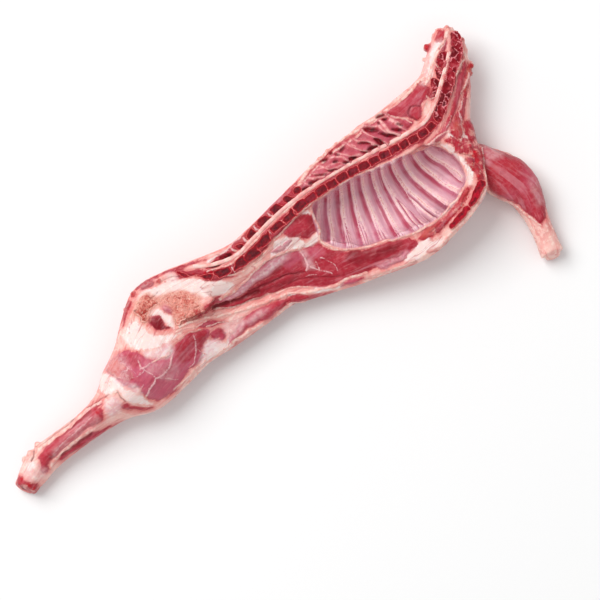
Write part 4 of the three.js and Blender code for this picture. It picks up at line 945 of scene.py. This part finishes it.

    # Seams of gristle and fat; painted shade in the creases; the dark slots and blood.
    seam = node("scaled sum", fine, 1.6, node("sum", layer["seam"], -0.8))
    seam = node("step", node("scaled sum", ragged, 0.22, seam), -0.45, 0.55, 0.9)
    pale = tinted(
        node, "#f6d3c9", (medium, 0.42, 0.6, 1.0, "#eba49c"), (fibres, 0.56, 0.7, 0.5, "#d46e70"),
        (muscle, 1.0, 4.0, 0.7, "#efc2c8"))
    colour = node("mix", seam, colour, pale)
    sliver = node("scaled sum", tatters, 0.2, layer["sliver"])
    sliver_side = tinted(node, "#d57c87", (medium, 0.4, 0.62, 1.0, "#c0585f"))
    sliver_top = tinted(node, "#f3bdb6", (medium, 0.42, 0.6, 1.0, "#dc8f93"))
    hole = tinted(node, "#4d0a12", (medium, 0.4, 0.62, 1.0, "#8a1c28"))
    blood = tinted(node, "#9c1520", (fine, 0.4, 0.6, 1.0, "#c9303a"))
    colour = tinted(
        # Painted shade: dark red in the creases.
        node, colour, (node("scaled sum", ragged, 0.2, layer["crease"]), -1.0, 1.1, 0.8, "#6b141c"),
        (sliver, -3.2, 0.6, 0.85, sliver_side), (sliver, -0.5, 1.3, 0.9, sliver_top),
        (node("scaled sum", tatters, 0.16, layer["slot"]), -1.6, 1.3, 1.0, hole),
        (node("scaled sum", ragged, 0.7, layer["blood"]), -0.8, 1.4, 0.7, blood))

    # How rough: fat 0.44, muscle 0.32, the lining 0.26, with drier patches.
    wet = tinted(node, (0.44,) * 4, (muscle, -1.3, 1.3, 1.0, (0.32,) * 4))
    wet = node("mix", lining, wet, (0.26,) * 4)
    wet = tinted(node, wet, (medium, 0.4, 0.6, 0.5, (0.5,) * 4))
    # How high, in metres.
    height = node("scaled sum", fine, 0.6 * MM, node("product", medium, 1.2 * MM))
    along_fibres = node("scaled sum", strands, 1.0 * MM, node("product", fibres, 0.5 * MM))
    height = node("scaled sum", along_fibres, node("step", muscle, -2.0, 3.0), height)
    height = node("scaled sum", seam, 0.6 * MM, height)
    height = node("scaled sum", node("product", scrap, bits), 2.2 * MM, height)
    finish_material(node, colour, wet, height, IOR=1.38, Specular_IOR_Level=0.3, Subsurface_Weight=0.08,
                    Subsurface_Scale=3 * MM, Coat_Weight=0.15, Coat_Roughness=0.16)
    return material


def sawn_bone(settings):
    """Fresh bone at a saw cut: dark red marrow in a fine mesh, with a thin pale wall round it."""
    material, node, layer = new_material("sawn_bone", ("fresh", "marrow", "torn"))
    place = node("place")
    cloud = node("noise", place, 1000 / 7, 3.0)
    medium = node("noise", place, 1000 / 3.5, 3.0)
    fine = node("noise", place, 1000 / 1.6, 2.0)
    patches = node("noise", place, 1000 / 26, 1.0)
    # Cells of spongy bone, 2.2 mm across, drawn twice their real size so that they show.
    cells = node("cells", place, 1000 / 2.2, feature="DISTANCE_TO_EDGE")
    dark = tinted(
        node, tuple(settings.marrow_colour), (cloud, 0.35, 0.65, 1.0, "#761620"),
        (patches, 0.54, 0.64, 0.45, "#8e3440"))
    bright = tinted(node, "#660212", (cloud, 0.4, 0.62, 1.0, "#b20a26"), (fine, 0.56, 0.7, 0.5, "#d63a4c"))
    fill = node("mix", layer["fresh"], dark, bright)
    fill = tinted(node, fill, (cells, 0.12, 0.0, 0.2, "#a84a50"))
    depth = node("scaled sum", fine, 2.4, layer["marrow"])
    fill = tinted(node, "#9c1322", (depth, 2.6, 4.6, 1.0, fill))
    # The torn bones of the neck: blood-red lumps some 17 mm across with pale splinters between.
    bent = node("vector sum", node("noise", place, 1000 / 12, output="Color"), (14 * MM,) * 3, place)
    gap = node("cells", bent, 1000 / 17, feature="DISTANCE_TO_EDGE")
    chance = node("red part", node("cells", bent, 1000 / 17, output="Color"))
    torn = tinted(
        node, "#4c0a11", (chance, 0.15, 0.5, 1.0, "#861b25"), (chance, 0.75, 0.95, 1.0, "#a2323c"),
        (cloud, 0.54, 0.68, 0.5, "#c65c62"), (cloud, 0.46, 0.34, 0.6, "#560c16"))
    splinters = node("product", node("step", gap, 0.075, 0.02), node("step", medium, 0.42, 0.54, 0.8))
    torn = node("mix", splinters, torn, "#e8949a")
    fill = node("mix", layer["torn"], fill, torn)
    wall = node("mix", cloud, "#ee9d98", "#cf525b")
    colour = tinted(node, wall, (depth, 1.4, 2.3, 1.0, fill))
    height = node("scaled sum", fine, 0.5 * MM, node("product", medium, 1.0 * MM))
    finish_material(node, colour, 0.42, height, IOR=1.4, Specular_IOR_Level=0.25, Subsurface_Weight=0.04,
                    Subsurface_Scale=2 * MM, Coat_Weight=0.06, Coat_Roughness=0.25)
    return material


def spongy_pelvis():
    """The sawn pelvis: dry, open bone, brown-orange where the air has reached its marrow."""
    material, node, layer = new_material("spongy_pelvis_bone", ("marrow", "fresh"))
    place = node("place")
    cells = node("cells", place, 1000 / 3.0)
    cloud = node("noise", place, 1000 / 16, 4.0)
    patches = node("noise", place, 1000 / 7, 3.0)
    fine = node("noise", place, 1000 / 3.0, 3.0)
    bone = tinted(node, "#e09a8e", (cloud, 0.38, 0.62, 1.0, "#cd766c"))
    bloody = tinted(node, "#c26a60", (cloud, 0.4, 0.6, 1.0, "#a03a38"))
    bone = node("mix", node("product", layer["fresh"], node("step", patches, 0.38, 0.56)), bone, bloody)
    bone = tinted(
        node, bone, (patches, 0.6, 0.7, 0.8, "#9c3a38"), (cells, 0.55, 0.25, 0.3, "#f0c3b4"),
        (fine, 0.42, 0.32, 0.7, "#a85348"), (fine, 0.6, 0.7, 0.7, "#f4d0c2"))
    inner = node("scaled sum", fine, 5.0, node("sum", layer["marrow"], -2.5))
    colour = tinted(node, "#ecbcb0", (inner, 0.4, 3.4, 1.0, bone))
    height = node("scaled sum", cells, 1.2 * MM, node("product", fine, 0.8 * MM))
    finish_material(node, colour, 0.55, height, IOR=1.4, Specular_IOR_Level=0.25, Subsurface_Weight=0.05,
                    Subsurface_Scale=2 * MM)
    return material


def soft_cord(settings):
    """The spinal cord in its sheath: soft, moist and pale pink."""
    material, node, _ = new_material("spinal_cord_sheath")
    place = node("place")
    cloud = node("noise", place, 1000 / 12, 3.0)
    fine = node("noise", place, 1000 / 3, 3.0)
    share = node("step", cloud, 0.35, 0.65, interpolation_type="LINEAR")
    colour = node("mix", share, tuple(settings.cord_colour), "#e5a19c")
    finish_material(node, colour, 0.35, node("product", fine, 0.6 * MM), IOR=1.4, Subsurface_Weight=0.15,
                    Subsurface_Scale=3 * MM, Coat_Weight=0.3, Coat_Roughness=0.15)
    return material


# ---- meshes ----


def new_object(name, mesh, node_names, material):
    """An object that takes the place of some solids and rides with the body."""
    obj = bpy.data.objects.new(name, mesh)
    bpy.context.scene.collection.objects.link(obj)
    mesh.materials.append(material)
    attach(obj, "root")
    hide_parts(*node_names)


def mesh_arrays(mesh):
    """The places and the normals of a mesh's points."""
    n = len(mesh.vertices)
    points, normals = np.zeros(n * 3), np.zeros(n * 3)
    mesh.vertices.foreach_get("co", points)
    mesh.vertex_normals.foreach_get("vector", normals)
    return points.reshape(-1, 3), normals.reshape(-1, 3)


def finish_mesh(mesh, points, layers):
    """Moves a mesh's points to their places, adds its layers and shades it smooth."""
    mesh.vertices.foreach_set("co", points.ravel())
    for name, values in layers.items():
        layer = mesh.attributes.get(name) or mesh.attributes.new(name, "FLOAT", "POINT")
        layer.data.foreach_set("value", np.broadcast_to(values, len(points)).astype(np.float32))
    mesh.shade_smooth()
    mesh.update()
    return mesh


def solid_copy(bm, name, push=0.0, lower=0.0):
    """Adds a solid's shape to a bmesh, swollen by a distance and its top lowered."""
    part = bmesh.new()
    part.from_mesh(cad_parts[name].data)
    bmesh.ops.remove_doubles(part, verts=part.verts, dist=1e-5)
    part.normal_update()
    part.verts.index_update()
    high = max(v.co.z for v in part.verts)
    u, w = to_photo(np.array([v.co for v in part.verts]))
    in_bed = inside_by(u, w, MUSCLES["blade bed"][2]) > 0
    for v in part.verts:
        top = v.co.z > high - 4 * MM
        v.co += v.normal * push
        if top and not in_bed[v.index]:
            v.co.z -= lower
    mesh = bpy.data.meshes.new("part")
    part.to_mesh(mesh)
    part.free()
    bm.from_mesh(mesh)
    bpy.data.meshes.remove(mesh)


def applied(obj, name):
    """An object's mesh with its modifiers applied; the object and its own mesh are gone."""
    own = obj.data
    mesh = bpy.data.meshes.new_from_object(obj.evaluated_get(bpy.context.evaluated_depsgraph_get()))
    bpy.data.objects.remove(obj)
    bpy.data.meshes.remove(own)
    mesh.name = name
    return mesh


def remeshed(bm, name, grid, smoothing):
    """One closed skin round everything in a bmesh, evenly spaced and smoothed."""
    rough = bpy.data.meshes.new(name + "_rough")
    bm.to_mesh(rough)
    bm.free()
    obj = bpy.data.objects.new(name + "_rough", rough)
    bpy.context.scene.collection.objects.link(obj)
    shell = obj.modifiers.new("shell", "REMESH")
    shell.mode = "VOXEL"
    shell.voxel_size = grid
    even = obj.modifiers.new("even", "SMOOTH")
    even.factor = 0.5
    even.iterations = smoothing
    return applied(obj, name)


def thinned(mesh, most):
    """The same skin with fewer triangles underneath, where it is smooth."""
    count = sum(len(p.vertices) - 2 for p in mesh.polygons)
    if count <= most:
        return mesh
    obj = bpy.data.objects.new(mesh.name + "_thinned", mesh)
    bpy.context.scene.collection.objects.link(obj)
    under = obj.vertex_groups.new(name="under")
    below = ramp(mesh_arrays(mesh)[1][:, 2], 0.1, -0.3)
    for weight in (0.25, 0.5, 0.75, 1.0):
        alike = np.nonzero(np.abs(below - weight) <= 0.125)[0]
        under.add(alike.tolist(), weight, "REPLACE")
    fewer = obj.modifiers.new("fewer", "DECIMATE")
    fewer.ratio = most / count
    fewer.vertex_group = "under"
    return applied(obj, mesh.name)


def flat_outline(line):
    """A photo outline as points of the sawn side."""
    points = np.array([from_photo(x, y) for x, y in smooth_line(line, closed=True)])
    points[:, 2] = [sawn_height(x) for x in points[:, 0]]
    return points


def torn_outline(outline, drift, size=6 * MM):
    """The same outline, ragged."""
    outline[:, 0] += drift * lumpy(outline, size, 11)
    outline[:, 1] += drift * lumpy(outline, size, 12)
    return outline


def grown(outline, by):
    """The same outline, wider by a distance."""
    away = (outline - outline.mean(0))[:, :2]
    outline[:, :2] += by * away / np.hypot(*away.T)[:, None]
    return outline


def sawn_outlines(names):
    """The outlines of the sawn faces of some solids, their corners rounded."""
    out = []
    for name in names:
        bm = bmesh.new()
        bm.from_mesh(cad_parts[name].data)
        bmesh.ops.remove_doubles(bm, verts=bm.verts, dist=1e-5)
        high = max(v.co.z for v in bm.verts)
        hidden = [f for f in bm.faces if f.normal.z < 0.9 or f.calc_center_median().z < high - 3 * MM]
        bmesh.ops.delete(bm, geom=hidden, context="FACES")
        bmesh.ops.dissolve_limit(bm, angle_limit=0.02, verts=bm.verts, edges=bm.edges)
        bmesh.ops.subdivide_edges(bm, edges=bm.edges, cuts=5)
        for _ in range(2):
            bmesh.ops.smooth_vert(bm, verts=bm.verts, factor=0.5, use_axis_x=True, use_axis_y=True, use_axis_z=True)
        for vert in bm.verts:
            vert.co.z = sawn_height(vert.co.x)
        out += [np.array([v.co for v in face.verts]) for face in bm.faces]
        bm.free()
    return out


def is_spine(outline):
    """Tells the long, narrow spine of a chest or neck bone from the body of a bone."""
    spread = outline[:, :2] - outline[:, :2].mean(0)
    sizes = np.linalg.svd(spread, compute_uv=False)
    return outline[:, 0].mean() > 0 and sizes[0] > 2.6 * sizes[1]


def backbone_outlines():
    """The outlines of the sawn bodies: the solids' own, narrowed across the row and drawn together along it."""
    row = np.array([from_photo(x, y) for x, y in smooth_line(BODY_COURSE)])[:, :2]
    out = [flat_outline(line) for line in NECK_BONES]
    out += [grown(flat_outline(line), 1.4 * MM) for line in LOIN_BONES]
    for outline in sawn_outlines(sorted(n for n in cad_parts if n.startswith("vertebra"))):
        middle = outline.mean(0)
        step = np.argmin(np.hypot(*(row[:-1] - middle[:2]).T))
        x, y = (axis[0] for axis in to_photo(middle[None]))
        if is_spine(outline) or x < HAND_DRAWN[0] or y < HAND_DRAWN[1]:
            continue
        ahead = row[step + 1] - row[step]
        ahead /= np.hypot(*ahead)
        back = np.array([-ahead[1], ahead[0]])
        if back @ (row[step] + [0.1, 0.1] - middle[:2]) < 0:
            back = -back
        away = outline[:, :2] - middle[:2]
        long, wide = away @ ahead, away @ back
        if np.hypot(*(row[step] - middle[:2])) < IN_ROW:
            long, wide = long * 1.12 + np.sign(long) * 0.5 * MM, wide * 0.86 + 0.8 * MM
        outline[:, :2] = middle[:2] + long[:, None] * ahead + wide[:, None] * back
        out.append(outline)
    return [torn_outline(outline, 1.5 * MM) for outline in out]


# ---- the meat ----


def outer_pixels(along, across):
    """The pixels at which the outer side's places on the body are read."""
    table = np.array(OUTER_BODY_LINES, float).reshape(-1, 5)
    share = along / along.max()
    back_x, back_y, belly_x, belly_y = (np.interp(share, table[:, 0], table[:, k]) for k in (1, 2, 3, 4))
    return back_x + (belly_x - back_x) * across, back_y + (belly_y - back_y) * across


def painted_muscles(muscles, u, v):
    """The muscle layer of one side, with its hue and its darkness."""
    muscle = np.full(len(u), -REACH)
    tone, depth = np.full(len(u), 0.3), np.zeros(len(u))
    for hue, dark, outline in muscles.values():
        inside = outline(u, v) if callable(outline) else inside_by(u, v, outline)
        share = ramp(inside, -2.5, 2.5)
        tone += (hue - tone) * share
        depth += (dark - depth) * share
        muscle = np.maximum(muscle, inside)
    return muscle, tone, depth


def painted_lines(lines, u, v, wider=1.0):
    """A layer of lines, in pixels inside the line, and how far they stand up, in metres."""
    layer, raised = np.full(len(u), -LINE_REACH), np.zeros(len(u))
    for half, high, line in lines.values():
        half *= wider
        away = distance_to_line(u, v, smooth_line(line), LINE_REACH)
        layer = np.maximum(layer, half - away)
        raised = np.maximum(raised, high * MM * np.exp(-((away / (half + 0.5)) ** 2)))
    return layer, raised


def painted_films(films, u, v, soft):
    """How thick the silverskin is, with soft edges."""
    film = np.zeros(len(u))
    for thick, outline in films.values():
        film = np.maximum(film, thick * ramp(inside_by(u, v, outline), -soft, soft))
    return film


def rib_phase(u, v):
    """1 on the ridge of a rib, 0 half way to the next one; and the rib's number, running on between ribs."""
    away = np.array([distance_to_line(u, v, smooth_line(line)) for line in RIBS])
    order = np.argsort(away, axis=0)
    near, next_one = np.take_along_axis(away, order[:2], axis=0)
    share = near / np.maximum(near + next_one, 1e-6)
    return 1 - 2 * share, order[0] + (order[1] - order[0]) * share


def smooth_bowl(points, u, v, cage, up):
    """How far the lining lies from a smooth bowl through it: the solid's own ribs and lumps."""
    fit = (cage > 3) & (up > 0.9)
    x, y = (u - CAGE_MIDDLE[0]) / CAGE_HALF[0], (v - CAGE_MIDDLE[1]) / CAGE_HALF[1]
    terms = np.stack([x**i * y**j for i in range(7) for j in range(7 - i)], 1)
    shape, *_ = np.linalg.lstsq(terms[fit], points[fit, 2], rcond=None)
    return (terms @ shape - points[:, 2]) * ramp(cage, 4.0, 9.0) * ramp(up, 0.5, 1.0)


def paint_meat(points, normals, settings):
    """The layers of the meat's surface, and how far each point moves out and up."""
    up = ramp(normals[:, 2], -0.25, 0.15)
    u, v = to_photo(points)
    flat = np.stack([u, v], 1)

    def drift(large, small, seed):
        return large * lumpy(flat, 9.0, seed) + small * lumpy(flat, 4.0, seed + 1)

    def both(inner, outer):
        return inner * up + outer * (1 - up)

    along, across = body_flow(points)
    outer_u, outer_v = outer_pixels(along, np.clip(across, -0.05, 1.3))
    near = u + drift(1.0, 0.5, 1), v + drift(1.0, 0.5, 3)
    far = outer_u + drift(1.5, 0.8, 1), outer_v + drift(1.5, 0.8, 3)
    in_leg = (u > FORELEG_FROM[0]) & (v > FORELEG_FROM[1])
    from_leg = distance_to_line(u, v, smooth_line(FORELEG_LINE), 60.0)
    across = np.where(in_leg, from_leg * PIXEL, across * BODY_WIDTH)
    along = np.where(in_leg, (u + 2.2 * v) / 2.4 * PIXEL, along)

    inner, outer = painted_muscles(MUSCLES, *near), painted_muscles(OUTER_MUSCLES, *far)
    (seam, raised), (far_seam, far_raised) = painted_lines(PALE_LINES, *near), painted_lines(OUTER_LINES, *far, 1.7)
    (crease, sunk), (far_crease, far_sunk) = painted_lines(CREASES, *near), painted_lines(OUTER_CREASES, *far)
    sliver, slats = painted_lines(SLATS, *near)
    slot = np.max([in_leaf(*near, *leaf) for leaf in np.reshape(SLOTS, (-1, 5))], axis=0)
    spots = [r - np.hypot(near[0] - x, near[1] - y) for x, y, r in np.reshape(RED_SPOTS, (-1, 3))]
    blood = np.maximum(np.max(spots, axis=0), -LINE_REACH)
    cage = inside_by(u, v, RIB_CAGE)
    in_cage = ramp(cage, -0.5, 3.0) * up
    phase, number = rib_phase(u, v)
    layers = {
        "muscle": both(inner[0], outer[0]), "tone": both(inner[1], outer[1]), "depth": both(inner[2], outer[2]),
        "white": both(nearest_of(WHITE_FAT.values(), *near), nearest_of(OUTER_WHITE.values(), *far)),
        "film": both(painted_films(FILMS, *near, 3.0), painted_films(OUTER_FILMS, *far, 6.0)),
        "seam": both(seam, far_seam), "crease": both(crease, far_crease),
        "pelvis": both(nearest_of(PELVIS, *near), -REACH), "scrap": both(nearest_of(SCRAPS, *near), -REACH),
        "slot": both(slot, -LINE_REACH), "sliver": both(sliver, -LINE_REACH), "blood": both(blood, -LINE_REACH),
        "lining": np.where(up > 0.02, cage, -10.0), "ribs": number, "outside": 1 - up,
        # Painted shade: how far towards the lower right of the rib cage's bowl each point lies.
        "cage_shade": ramp(u - 0.5 * (v - 190), 395, 425) * ramp(v, 188, 215),
        "along": along, "across": across, "level": np.where(up > 0.5, 0.0, points[:, 2]),
    }

    bones = in_outlines(points, [*backbone_outlines(), *map(flat_outline, BREASTBONE)], 6 * MM)
    under_bone = ramp(bones, -0.5 * MM, 1.5 * MM) * up
    muscle = layers["muscle"]
    swell = settings.bulge * (ramp(muscle, 0.0, 8.0) - 0.5 * np.exp(-((muscle / 1.3) ** 2)))
    leaves = slats - 4.0 * MM * ramp(slot, -1.0, 1.6) + 1.0 * MM * ramp(blood, -1.0, 1.5)
    out = both((swell + leaves) * (1 - in_cage) + raised - sunk, 0.6 * swell + far_raised - far_sunk)
    out += settings.rib_height * (phase - 0.5) * in_cage
    # Fine lumps all over, and longer ones drawn out along the body.
    body = np.stack([along * 0.15, across], 1)
    rough = 0.5 * lumpy(points, 16 * MM, 5) + 0.35 * lumpy(points, 7 * MM, 6) + 0.5 * lumpy(body, 5 * MM, 7)
    out += settings.unevenness * rough * (1 - 0.85 * in_cage)
    by_bone = np.maximum(ramp(bones, -5 * MM, 0), ramp(layers["pelvis"], -3.0, 0.0))
    out = out * (1 - by_bone * up) - 1.6 * MM * under_bone
    return layers, out, smooth_bowl(points, u, v, cage, up)


class LAMB_OT_meat(bpy.types.Operator):
    """Makes the meat: one skin with fat, muscles, seams, creases and the lined rib cage"""

    bl_idname = "lamb.meat"
    bl_label = "Meat"

    def execute(self, context):
        settings = context.scene.lamb
        bm = bmesh.new()
        solid_copy(bm, "meat")
        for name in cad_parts:
            if name != "meat":
                solid_copy(bm, name, 0.7 * MM, 0 if "hock" in name or "shank" in name else 2.2 * MM)
        for x, y, z, size in np.reshape(LUMPS, (-1, 4)).tolist():
            lump = bmesh.ops.create_icosphere(bm, subdivisions=2, radius=size * MM)["verts"]
            centre = from_photo(x, y, z * MM)
            for vert in lump:
                vert.co = centre + vert.co * (1 + 0.3 * math.sin(vert.co.x * 700 + vert.co.y * 900 + x))
        mesh = thinned(remeshed(bm, "meat_skin", settings.grid, 5), MOST_TRIANGLES)
        points, normals = mesh_arrays(mesh)
        layers, out, lift = paint_meat(points, normals, settings)
        points += normals * out[:, None]
        points[:, 2] = np.maximum(points[:, 2] + lift, 0.0)
        new_object("meat_skin", finish_mesh(mesh, points, layers), ["meat"], raw_meat(settings))
        return {"FINISHED"}


# ---- the bones ----


def bone_faces_mesh(name, outlines, grid, wall, spongy, fresh):
    """Sawn bones as thin rounded plates: a raised wall round a sunk, spongy middle."""
    bm = bmesh.new()
    for outline in outlines:
        bm.faces.new([bm.verts.new(place) for place in outline])
    bm.normal_update()
    for face in bm.faces:
        if face.normal.z < 0:
            face.normal_flip()
    lifted = bmesh.ops.extrude_face_region(bm, geom=bm.faces[:])["geom"]
    tops = {g for g in lifted if isinstance(g, bmesh.types.BMVert)}
    for vert in bm.verts:
        vert.co.z += 0.6 * MM if vert in tops else -3.5 * MM
    bmesh.ops.recalc_face_normals(bm, faces=bm.faces)
    mesh = remeshed(bm, name, grid, 2)
    points, normals = mesh_arrays(mesh)
    inside = in_outlines(points, outlines, 12 * MM)
    up = ramp(normals[:, 2], 0.3, 0.8)
    sunk = ramp(inside, 0.5 * wall, 1.8 * wall) * (0.8 * MM + spongy * (0.5 + 0.5 * lumpy(points, 2.4 * MM, 21)))
    points[:, 2] += up * (0.3 * MM * lumpy(points, 5 * MM, 22) - sunk)
    # The bones of the neck, upwards and to the right in the photo, are torn and lumpy.
    u, v = to_photo(points)
    torn = ramp(v, 123, 114) * ramp(u, 424, 430)
    points[:, 2] += up * torn * (1.8 * MM * lumpy(points, 7 * MM, 23) - 0.6 * MM)
    return finish_mesh(mesh, points, {"torn": torn, "marrow": np.maximum(inside, 0) / MM, "fresh": fresh})


class LAMB_OT_backbone(bpy.types.Operator):
    """Makes the sawn backbone: the body and the spine of each bone, the sacrum and the tail bone"""

    bl_idname = "lamb.backbone"
    bl_label = "Backbone"

    def execute(self, context):
        nodes = sorted(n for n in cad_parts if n.startswith(("vertebra", "sacrum", "tail")))
        mesh = bone_faces_mesh("backbone", backbone_outlines(), 0.9 * MM, 0.6 * MM, 0.7 * MM, 0.0)
        new_object("backbone", mesh, nodes, sawn_bone(context.scene.lamb))
        return {"FINISHED"}


class LAMB_OT_breastbone(bpy.types.Operator):
    """Makes the sawn breastbone, with fresh bright marrow"""

    bl_idname = "lamb.breastbone"
    bl_label = "Breastbone"

    def execute(self, context):
        nodes = sorted(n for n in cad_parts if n.startswith("breastbone"))
        outlines = [torn_outline(grown(flat_outline(line), MM), 1.5 * MM) for line in BREASTBONE]
        mesh = bone_faces_mesh("breastbone", outlines, 0.8 * MM, 0.5 * MM, 0.8 * MM, 1.0)
        new_object("breastbone", mesh, nodes, bpy.data.materials["sawn_bone"])
        return {"FINISHED"}


class LAMB_OT_aitch_bone(bpy.types.Operator):
    """Makes the sawn pelvis with its open, crumbly bone"""

    bl_idname = "lamb.aitch_bone"
    bl_label = "Aitch bone"

    def execute(self, context):
        ragged = [torn_outline(flat_outline(line), 2.5 * MM, 9 * MM) for line in PELVIS]
        lobes = [torn_outline(outline, 2.0 * MM, 3.5 * MM) for outline in ragged]
        mesh = bone_faces_mesh("aitch_bone_face", lobes, 0.9 * MM, 0.4 * MM, 1.0 * MM, 0.0)
        points, normals = mesh_arrays(mesh)
        up = ramp(normals[:, 2], 0.3, 0.8)
        points[:, 2] += up * (1.4 * MM * lumpy(points, 11 * MM, 31) + 1.0 * MM * lumpy(points, 4 * MM, 32))
        # Its edge dips under the fat.
        points[:, 2] += up * MM * (1.2 - 3.0 * (1 - ramp(in_outlines(points, lobes, 12 * MM), 0.0, 5 * MM)))
        # It is bloodier at its end by the leg.
        finish_mesh(mesh, points, {"fresh": ramp(to_photo(points)[0], 164, 156)})
        new_object("aitch_bone_face", mesh, ["aitch_bone"], spongy_pelvis())
        return {"FINISHED"}


class LAMB_OT_spinal_cord(bpy.types.Operator):
    """Makes the spinal cord in its split channel"""

    bl_idname = "lamb.spinal_cord"
    bl_label = "Spinal cord"

    def execute(self, context):
        bm = bmesh.new()
        solid_copy(bm, "spinal_cord")
        mesh = remeshed(bm, "spinal_cord_sheath", 1.1 * MM, 6)
        points, normals = mesh_arrays(mesh)
        points += normals * (0.5 * MM * lumpy(points, 9 * MM, 41) + 0.3 * MM)[:, None]
        new_object("spinal_cord_sheath", finish_mesh(mesh, points, {}), ["spinal_cord"],
                   soft_cord(context.scene.lamb))
        return {"FINISHED"}


class LAMB_OT_leg_bones(bpy.types.Operator):
    """Makes the sawn ends of the hind shank and the fore shank"""

    bl_idname = "lamb.leg_bones"
    bl_label = "Leg bones"

    def execute(self, context):
        for node in ("hock_bone", "foreshank_bone"):
            bm = bmesh.new()
            solid_copy(bm, node)
            mesh = remeshed(bm, node + "_end", 0.8 * MM, 4)
            points, normals = mesh_arrays(mesh)
            outward = Vector(normals[normals[:, 2] > 0.1].mean(0)).normalized()
            facing = ramp(normals @ np.array(outward), 0.75, 0.95)
            edge = points[facing > 0.5]
            middle = (edge.min(0) + edge.max(0)) / 2
            # The wall is 3 mm thick; the marrow in it has sunk a little.
            inside = 13 * MM - np.linalg.norm(points - middle, axis=1)
            marrow = np.where(facing > 0.3, np.maximum(inside / MM - 2.5, 0), 0)
            sunk = facing * ramp(marrow, 0, 1.5) * (1.2 * MM + 0.6 * MM * lumpy(points, 2.5 * MM, 51))
            points -= normals * sunk[:, None]
            points += normals * (0.5 * MM * lumpy(points, 6 * MM, 52))[:, None]
            finish_mesh(mesh, points, {"marrow": marrow, "fresh": 0.35, "torn": 0.25})
            new_object(node + "_end", mesh, [node], bpy.data.materials["sawn_bone"])
        return {"FINISHED"}


class LAMB_OT_stage(bpy.types.Operator):
    """Makes the pale floor, the soft lights and the camera"""

    bl_idname = "lamb.stage"
    bl_label = "Stage"

    def execute(self, context):
        link = context.scene.collection.objects.link
        mesh = bpy.data.meshes.new("floor")
        bm = bmesh.new()
        bmesh.ops.create_grid(bm, x_segments=1, y_segments=1, size=6.0)
        for vert in bm.verts:
            vert.co.z = FLOOR_HEIGHT
        bm.to_mesh(mesh)
        bm.free()
        floor = bpy.data.objects.new("floor", mesh)
        link(floor)
        material, node, _ = new_material("white_floor")
        node("output", node("surface", "#f7f7f7", 0.8, numbers={"Specular IOR Level": 0.1}))
        mesh.materials.append(material)

        world = bpy.data.worlds.new("studio")
        world.use_nodes = True
        world.node_tree.nodes["Background"].inputs[0].default_value = (1, 1, 1, 1)
        world.node_tree.nodes["Background"].inputs[1].default_value = WORLD_LIGHT
        context.scene.world = world
        middle = Vector((*MIDDLE_AT, 0.05))
        for name, (direction, size, power) in LAMPS.items():
            lamp = bpy.data.lights.new(name, "AREA")
            lamp.size = size
            lamp.energy = power
            obj = bpy.data.objects.new(name, lamp)
            obj.location = middle + Vector(direction).normalized() * LAMP_DISTANCE
            obj.rotation_euler = (middle - obj.location).to_track_quat("-Z", "Y").to_euler()
            link(obj)
        lens = bpy.data.cameras.new("camera")
        lens.lens = 200
        lens.sensor_width = 36
        lens.clip_end = 30
        camera = bpy.data.objects.new("camera", lens)
        distance = 2 * PHOTO_MIDDLE * PIXEL * lens.lens / lens.sensor_width
        camera.location = (*MIDDLE_AT, SAWN_HEIGHT + distance)
        camera.rotation_euler = (0, 0, -math.pi / 4)
        link(camera)
        context.scene.camera = camera
        context.scene.view_settings.view_transform = "Standard"
        return {"FINISHED"}


STEPS = [
    LAMB_OT_meat, LAMB_OT_backbone, LAMB_OT_breastbone, LAMB_OT_aitch_bone,
    LAMB_OT_spinal_cord, LAMB_OT_leg_bones, LAMB_OT_stage,
]


class LAMB_PT_panel(bpy.types.Panel):
    """Lists the carcass's pieces"""

    bl_label = "Half lamb carcass"
    bl_idname = "LAMB_PT_panel"
    bl_space_type = "VIEW_3D"
    bl_region_type = "UI"
    bl_category = "Lamb"

    def draw(self, context):
        for name in LambSettings.__annotations__:
            self.layout.prop(context.scene.lamb, name)
        for step in STEPS:
            self.layout.operator(step.bl_idname)


def register():
    for cls in [LambSettings, *STEPS, LAMB_PT_panel]:
        bpy.utils.register_class(cls)
    bpy.types.Scene.lamb = bpy.props.PointerProperty(type=LambSettings)


def unregister():
    del bpy.types.Scene.lamb
    for cls in reversed([LambSettings, *STEPS, LAMB_PT_panel]):
        bpy.utils.unregister_class(cls)


def main():
    register()
    for step in STEPS:
        group, name = step.bl_idname.split(".")
        getattr(getattr(bpy.ops, group), name)()


if __name__ == "__main__":
    main()
